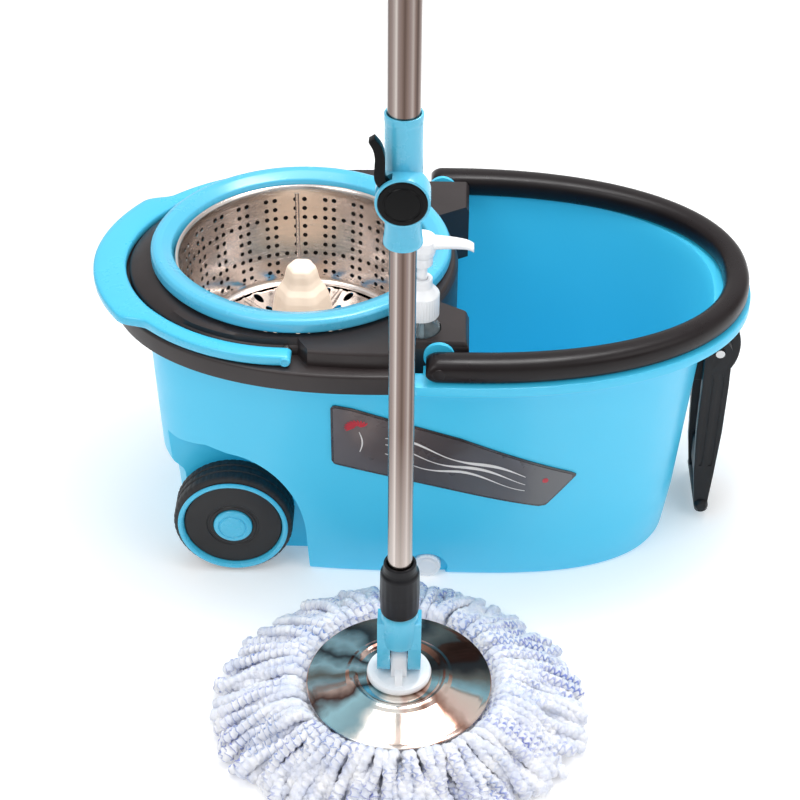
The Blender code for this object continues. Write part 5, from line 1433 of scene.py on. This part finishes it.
lathe("pole_sleeve_body", [
    (0.0101, 0.1700), (0.0121, 0.1700), (0.0126, 0.1690), (0.0130, 0.1640), (0.0136, 0.1618), (0.0148, 0.1602), (0.0152, 0.1585), (0.0157, 0.1400),
    (0.0151, 0.1235), (0.0147, 0.1206), (0.0138, 0.1197), (0.0101, 0.1197)], MO, M_SLEEVE, "lower_mop", ("pole_sleeve",), n=144, round_r=0.0008, seg=3,
    fn=sleeve_grip)
lathe("lower_pole_tube", [(0.0085, 0.1255), (0.0095, 0.1255), (0.0095, 0.2500), (0.0095, 0.4000), (0.0095, 0.5500), (0.0095, 0.6996), (0.0092, 0.7000), (0.0085, 0.7000)],
      MO, M_POLE, "lower_mop", ("lower_pole",), n=96, round_r=0.0)
lathe("upper_pole_tube", [(0.0100, 0.4800), (0.0110, 0.4800), (0.0110, 0.6500), (0.0110, 0.8500), (0.0110, 1.0500), (0.0110, 1.1896), (0.0107, 1.1900), (0.0100, 1.1900)],
      MO, M_POLE, "upper_mop", ("upper_pole",), n=96, round_r=0.0)


def grip_waves(r, u, t):
    if 1.070 < u < 1.186 and r > 0.0140:
        return r - 0.0003 * (0.5 + 0.5 * math.cos(12 * t)) - 0.00045 * (0.5 + 0.5 * math.cos(2 * math.pi * (u - 1.07) / 0.0062)), u
    return r, u


def grip_profile():
    keys = [(1.0600, 0.0150), (1.0612, 0.0156), (1.0640, 0.0160), (1.0700, 0.0155), (1.0900, 0.0150), (1.1100, 0.0148), (1.1300, 0.0150), (1.1500, 0.0155), (1.1700, 0.0158),
            (1.1900, 0.0160), (1.1960, 0.0156), (1.1995, 0.0140), (1.2012, 0.0115), (1.2020, 0.0080)]
    out = []
    for (za, ra), (zb, rb) in zip(keys, keys[1:]):
        n = max(1, int((zb - za) / 0.0016))
        for k in range(n):
            q = k / n
            out.append((ra + (rb - ra) * q, za + (zb - za) * q))
    out.append((0.0060, 1.2020))
    return [(0.0116, 1.0600)] + out + [(0.0060, 1.1905), (0.0116, 1.1905)]


lathe("pole_grip_body", grip_profile(), MO, M_SLEEVE, "upper_mop", ("pole_grip",), n=96, round_r=0.0, fn=grip_waves)


def lock():
    pr = soften([
        (0.0113, 0.4795), (0.0113, 0.5600), (0.0126, 0.5600), (0.0130, 0.5593), (0.0130, 0.5550), (0.0127, 0.5535), (0.0128, 0.5150), (0.0125, 0.4720),
        (0.0130, 0.4660), (0.0136, 0.4622), (0.0136, 0.4603), (0.0132, 0.4595), (0.0099, 0.4595), (0.0099, 0.4795)], 0.0006, 3)
    v, f = turn(pr, MO, "Z", 96)
    o = build("lock_collar_body", v, f, M_COLLAR, None)
    y0, y1 = MY - 0.0235, MY - 0.0060
    boss = turn([(0, y0), (0.0178, y0), (0.0183, y0 + 0.0003), (0.0185, y0 + 0.0010), (0.0185, y1), (0, y1)], (MX, 0, BOSS_Z), "Y", 96, False)
    boolean(o, [boss], "UNION")
    win = [(MX, BOSS_Z)]
    for i in range(25):
        t = math.radians(112 + (250 - 112) * i / 24)
        win.append((MX + 0.030 * math.cos(t), BOSS_Z + 0.030 * math.sin(t)))
    boolean(o, [cyl(0.0113, 0.4795, 0.57, MO, "Z", 96),
                cyl(0.0168, MY - 0.03, MY - 0.0212, (MX, 0, BOSS_Z), "Y", 96),
                cyl(0.0122, MY - 0.0220, MY - 0.0128, (MX, 0, BOSS_Z), "Y", 48),
                prism(win, MY - 0.0208, MY - 0.0128),
                cyl(0.0028, MY - 0.0200, MY - 0.0118, (MX, 0, BOSS_Z), "Y", 24)])
    smooth_object(o, 35)
    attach(o, "upper_mop")
    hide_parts("lock_collar")
    lathe("lever_cap_disc", [
        (0, MY - 0.0215), (0.0165, MY - 0.0215), (0.0165, MY - 0.0236), (0.0159, MY - 0.0241), (0.0132, MY - 0.0243), (0.0127, MY - 0.0238), (0.0120, MY - 0.0238), (0.0115, MY - 0.0244),
        (0, MY - 0.0246)], (MX, 0, BOSS_Z), M_BOSSCAP, "upper_mop", ("lever_cap",), "Y", 96, 0.0004, 3, False)

    path = [(-0.0040, 0.0048), (-0.0110, 0.0098), (-0.0152, 0.0155), (-0.0158, 0.0230), (-0.0158, 0.0300), (-0.0175, 0.0365), (-0.0212, 0.0420)]
    path = [(-0.0040, 0.0048), (-0.0110, 0.0100), (-0.0148, 0.0160), (-0.0151, 0.0240), (-0.0150, 0.0320), (-0.0166, 0.0390), (-0.0204, 0.0452)]
    width = [0.0056, 0.0068, 0.0074, 0.0070, 0.0066, 0.0060, 0.0046]
    fine_p, fine_w = [], []
    for i in range(len(path) - 1):
        p0 = Vector(path[max(0, i - 1)])
        p1, p2 = Vector(path[i]), Vector(path[i + 1])
        p3 = Vector(path[min(len(path) - 1, i + 2)])
        for k in range(6):
            t = k / 6
            q = 0.5 * ((2 * p1) + (p2 - p0) * t + (2 * p0 - 5 * p1 + 4 * p2 - p3) * t * t + (3 * p1 - p0 - 3 * p2 + p3) * t ** 3)
            fine_p.append(q)
            fine_w.append(width[i] + (width[i + 1] - width[i]) * t)
    fine_p.append(Vector(path[-1]))
    fine_w.append(width[-1])
    left, right = [], []
    for i, (p, w) in enumerate(zip(fine_p, fine_w)):
        d = (fine_p[min(len(fine_p) - 1, i + 1)] - fine_p[max(0, i - 1)]).normalized()
        nrm = Vector((-d.y, d.x))
        left.append((MX + p.x + nrm.x * w / 2, BOSS_Z + p.y + nrm.y * w / 2))
        right.append((MX + p.x - nrm.x * w / 2, BOSS_Z + p.y - nrm.y * w / 2))
    v, f = prism(left + right[::-1], MY - 0.0204, MY - 0.0132)
    o = build("lock_lever_arm", v, f, M_BOSSCAP, None)
    boolean(o, [cyl(0.0090, MY - 0.0204, MY - 0.0132, (MX, 0, BOSS_Z), "Y", 48)], "UNION")
    boolean(o, [cyl(0.0029, MY - 0.03, MY - 0.01, (MX, 0, BOSS_Z), "Y", 24)])
    bevel(o, 0.0011, 3, 40)
    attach(o, "lock")
    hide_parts("lock_lever")


lock()


# ------------------------------------------------------------------ chenille strands
def strands():
    V, F, UV = [], [], []
    sides = 11
    r_rnd = random.Random(41)

    def tube(pts, rad, phase, tint):
        n = len(pts)
        base = len(V)
        dist = 0.0
        prev = None
        ref = Vector((0, 0, 1))
        for i in range(n):
            p = pts[i]
            d = (pts[min(n - 1, i + 1)] - pts[max(0, i - 1)]).normalized()
            side = d.cross(ref)
            if side.length < 1e-5:
                side = Vector((1, 0, 0))
            side.normalize()
            up = side.cross(d).normalized()
            if prev is not None:
                dist += (p - prev).length
            prev = p
            q = i / (n - 1)
            tuft = 0.35 + 0.65 * smoothstep(0.15, 0.75, q)
            end = math.sqrt(max(0.0, 1 - max(0.0, (q - 0.95) / 0.05) ** 2)) if q > 0.95 else 1.0
            start = smoothstep(-0.08, 0.06, q)
            swell = 1.0 + 0.10 * smoothstep(0.75, 0.95, q)
            for m in range(sides):
                t = 2 * math.pi * m / sides
                puff = 0.5 + 0.5 * math.cos(2 * math.pi * (dist / 0.0060 + phase + 0.22 * math.sin(2 * t + tint)))
                k = noise.noise(Vector((p.x * 300 + 2.4 * math.cos(t), p.y * 300 + 2.4 * math.sin(t), p.z * 300 + tint)))
                k2 = r_rnd.uniform(-1, 1)
                rr = rad * start * swell * (0.80 + tuft * (0.25 * puff + 0.30 * k) + 0.05 * k2) * max(0.10, end)
                V.append(p + side * (rr * math.cos(t)) + up * (rr * math.sin(t)))
                UV.append((dist / 0.0060 + phase, m / sides))
        for i in range(n - 1):
            for m in range(sides):
                l = (m + 1) % sides
                F.append((base + i * sides + m, base + i * sides + l, base + (i + 1) * sides + l, base + (i + 1) * sides + m))
        F.append(tuple(base + m for m in range(sides))[::-1])
        F.append(tuple(base + (n - 1) * sides + m for m in range(sides)))

    def strand(th, layer, reach, rad):
        """A centre line from under the disc's edge, over the pile and down to the floor."""
        start_r = 0.058 + 0.004 * r_rnd.random()
        z_s = (0.0325, 0.0280, 0.0200, 0.0120)[layer]
        front = smoothstep(-0.2, 0.9, -math.sin(th))
        crest = (0.0415, 0.0345, 0.0250, 0.0150)[layer] + r_rnd.uniform(-0.0018, 0.0018) + (0.0060, 0.0030, 0.0, 0.0)[layer] * front
        end_z = rad * 0.95 + (r_rnd.random() ** 2) * (0.014, 0.009, 0.004, 0.001)[layer]
        sway = r_rnd.uniform(-0.16, 0.16)
        curl = r_rnd.uniform(-0.16, 0.16)
        wob = r_rnd.uniform(0, 6.28)
        droop = r_rnd.uniform(1.45, 1.85)
        pts = []
        n = 78
        for i in range(n):
            q = i / (n - 1)
            r = start_r + (reach - start_r) * q
            ang = th + sway * q ** 1.6 * 0.55 + curl * max(0.0, q - 0.55) ** 2 * 2.4 + 0.014 * math.sin(9 * q + wob)
            z = z_s + (crest - z_s) * smoothstep(0.0740, 0.0870, r)
            if r > 0.0880:
                k = (r - 0.0880) / max(0.02, reach - 0.0880)
                z = crest + (end_z - crest) * (min(1.0, k) ** droop)
            z += 0.0010 * math.sin(7 * q + wob * 1.7) * min(1, 4 * q) * (1 - q)
            k = min(1.0, max(0.0, (r - 0.080) / 0.050))
            s_y = 1.0 - (1.0 - (0.955 if math.sin(ang) > 0 else 0.864)) * k
            x, y = r * math.cos(ang), r * math.sin(ang) * s_y
            pts.append(Vector((MX + x, MY + y, max(z, rad * 0.92))))
        tube(pts, rad, r_rnd.random(), r_rnd.uniform(0, 40))

    for layer, count, r_lo, r_hi, rad in ((0, 84, 0.118, 0.149, 0.0046), (1, 84, 0.134, 0.154, 0.0048), (2, 78, 0.142, 0.1560, 0.0048), (3, 66, 0.142, 0.1560, 0.0048)):
        for i in range(count):
            th = 2 * math.pi * (i + 0.37 * layer + r_rnd.uniform(-0.32, 0.32)) / count
            strand(th, layer, r_rnd.uniform(r_lo, r_hi), rad * r_rnd.uniform(0.90, 1.10))

    me = bpy.data.meshes.new("mop_strands")
    me.from_pydata([tuple(v) for v in V], [], F)
    uv = me.uv_layers.new(name="strand")
    loops = me.loops
    data = [0.0] * (2 * len(loops))
    i = 0
    for poly in me.polygons:
        vs = [loops[k].vertex_index for k in poly.loop_indices]
        wrap = len(vs) == 4 and max(UV[q][1] for q in vs) - min(UV[q][1] for q in vs) > 0.5
        for k in poly.loop_indices:
            u, w = UV[loops[k].vertex_index]
            if wrap and w < 0.5:
                w += 1.0
            data[2 * k] = u
            data[2 * k + 1] = w
    uv.data.foreach_set("uv", data)
    me.validate()
    me.materials.append(M_STRAND)
    o = bpy.data.objects.new("mop_strands", me)
    SC.collection.objects.link(o)
    o.data.shade_smooth()
    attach(o, "mop_head")
    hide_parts("strand_ring")


strands()

# ------------------------------------------------------------------ carried-over CAD nodes get the same finishes
BY_NODE = {
    "basket_lower_flange": M_WHITE, "spindle_bush": M_WHITE, "basket_spindle": M_PIN, "spindle_nut": M_PIN, "carry_pin_front": M_PIN, "carry_pin_rear": M_PIN,
    "deck_handle_pin_front": M_PIN, "deck_handle_pin_rear": M_PIN, "wheel_axle_front": M_PIN, "wheel_axle_rear": M_PIN, "tow_pin": M_PIN,
    "tow_screw_lower": M_PIN, "tow_screw_upper": M_PIN, "drain_seal": M_SEAL, "pump_stem": M_WHITE, "dip_tube": M_WHITE, "head_plate": M_WHITE,
    "pivot_pin": M_PIN, "twist_rod": M_PIN, "drive_nut": M_WHITE, "guide_bush": M_BLACK, "rod_plug": M_BLACK, "lever_pin": M_PIN,
}
for name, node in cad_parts.items():
    m = BY_NODE.get(name)
    if m is not None:
        node.data.materials.clear()
        node.data.materials.append(m)


# ------------------------------------------------------------------ floor and light
def studio():
    me = bpy.data.meshes.new("floor")
    s = 9.0
    n = 24
    vs = [(-s + 2 * s * i / n, -s + 2 * s * j / n, -0.0002) for j in range(n + 1) for i in range(n + 1)]
    fs = [(j * (n + 1) + i, j * (n + 1) + i + 1, (j + 1) * (n + 1) + i + 1, (j + 1) * (n + 1) + i) for j in range(n) for i in range(n)]
    me.from_pydata(vs, [], fs)
    o = bpy.data.objects.new("floor", me)
    SC.collection.objects.link(o)
    m = Mat("floor_paper", Roughness=0.9)
    k = m.noise(3.0, 2.0)
    m.color(m.mix(k, (0.90, 0.90, 0.90), (0.93, 0.93, 0.93)))
    m.set("Emission Color", (1.0, 1.0, 1.0))
    m.set("Emission Strength", 0.22)
    me.materials.append(m.m)

    w = bpy.data.worlds.new("studio")
    SC.world = w
    w.use_nodes = True
    t = w.node_tree
    bg = t.nodes["Background"]
    tc = t.nodes.new("ShaderNodeTexCoord")
    sep = t.nodes.new("ShaderNodeSeparateXYZ")
    t.links.new(tc.outputs["Generated"], sep.inputs[0])
    at = t.nodes.new("ShaderNodeMath")
    at.operation = "ARCTAN2"
    t.links.new(sep.outputs[1], at.inputs[0])
    t.links.new(sep.outputs[0], at.inputs[1])
    mr = t.nodes.new("ShaderNodeMapRange")
    mr.inputs[1].default_value = -math.pi
    mr.inputs[2].default_value = math.pi
    t.links.new(at.outputs[0], mr.inputs[0])
    ramp = t.nodes.new("ShaderNodeValToRGB")
    stops = [(0.0, 0.80), (0.08, 0.22), (0.13, 0.95), (0.185, 1.0), (0.215, 0.18), (0.235, 0.12), (0.255, 0.62), (0.30, 0.95), (0.335, 0.30), (0.37, 0.14), (0.42, 0.85), (0.50, 1.0),
             (0.58, 0.45), (0.66, 0.85), (0.75, 1.0), (0.84, 0.80), (0.92, 0.35), (1.0, 0.80)]
    el = ramp.color_ramp.elements
    while len(el) < len(stops):
        el.new(0.5)
    for e, (p, c) in zip(el, stops):
        e.position = p
        e.color = (c, c * (0.94 if c < 0.5 else 0.99), c * (0.90 if c < 0.5 else 0.985), 1)
    t.links.new(mr.outputs[0], ramp.inputs["Fac"])
    mixn = t.nodes.new("ShaderNodeMix")
    mixn.data_type = "RGBA"
    up = t.nodes.new("ShaderNodeMapRange")
    up.inputs[1].default_value = 0.35
    up.inputs[2].default_value = 0.80
    t.links.new(sep.outputs[2], up.inputs[0])
    t.links.new(up.outputs[0], mixn.inputs[0])
    t.links.new(ramp.outputs["Color"], mixn.inputs[6])
    mixn.inputs[7].default_value = (0.92, 0.94, 0.96, 1)
    t.links.new(mixn.outputs[2], bg.inputs["Color"])
    bg.inputs["Strength"].default_value = 0.80

    def area(name, loc, target, size, power, size_y=None):
        d = bpy.data.lights.new(name, "AREA")
        d.shape = "RECTANGLE"
        d.size = size
        d.size_y = size_y or size
        d.energy = power
        ob = bpy.data.objects.new(name, d)
        ob.location = loc
        q = (Vector(target) - Vector(loc)).to_track_quat("-Z", "Y")
        ob.rotation_euler = q.to_euler()
        SC.collection.objects.link(ob)

    area("key", (-1.3, -1.5, 2.3), (0, -0.1, 0.15), 1.2, 14)
    area("fill", (1.7, -1.3, 1.7), (0, 0, 0.2), 1.4, 8.5)
    area("top", (0.1, 0.2, 2.6), (0, 0, 0.1), 1.5, 21)
    area("well", (0.14, 0.02, 0.95), (0.13, 0, 0.1), 0.28, 3.0)


studio()
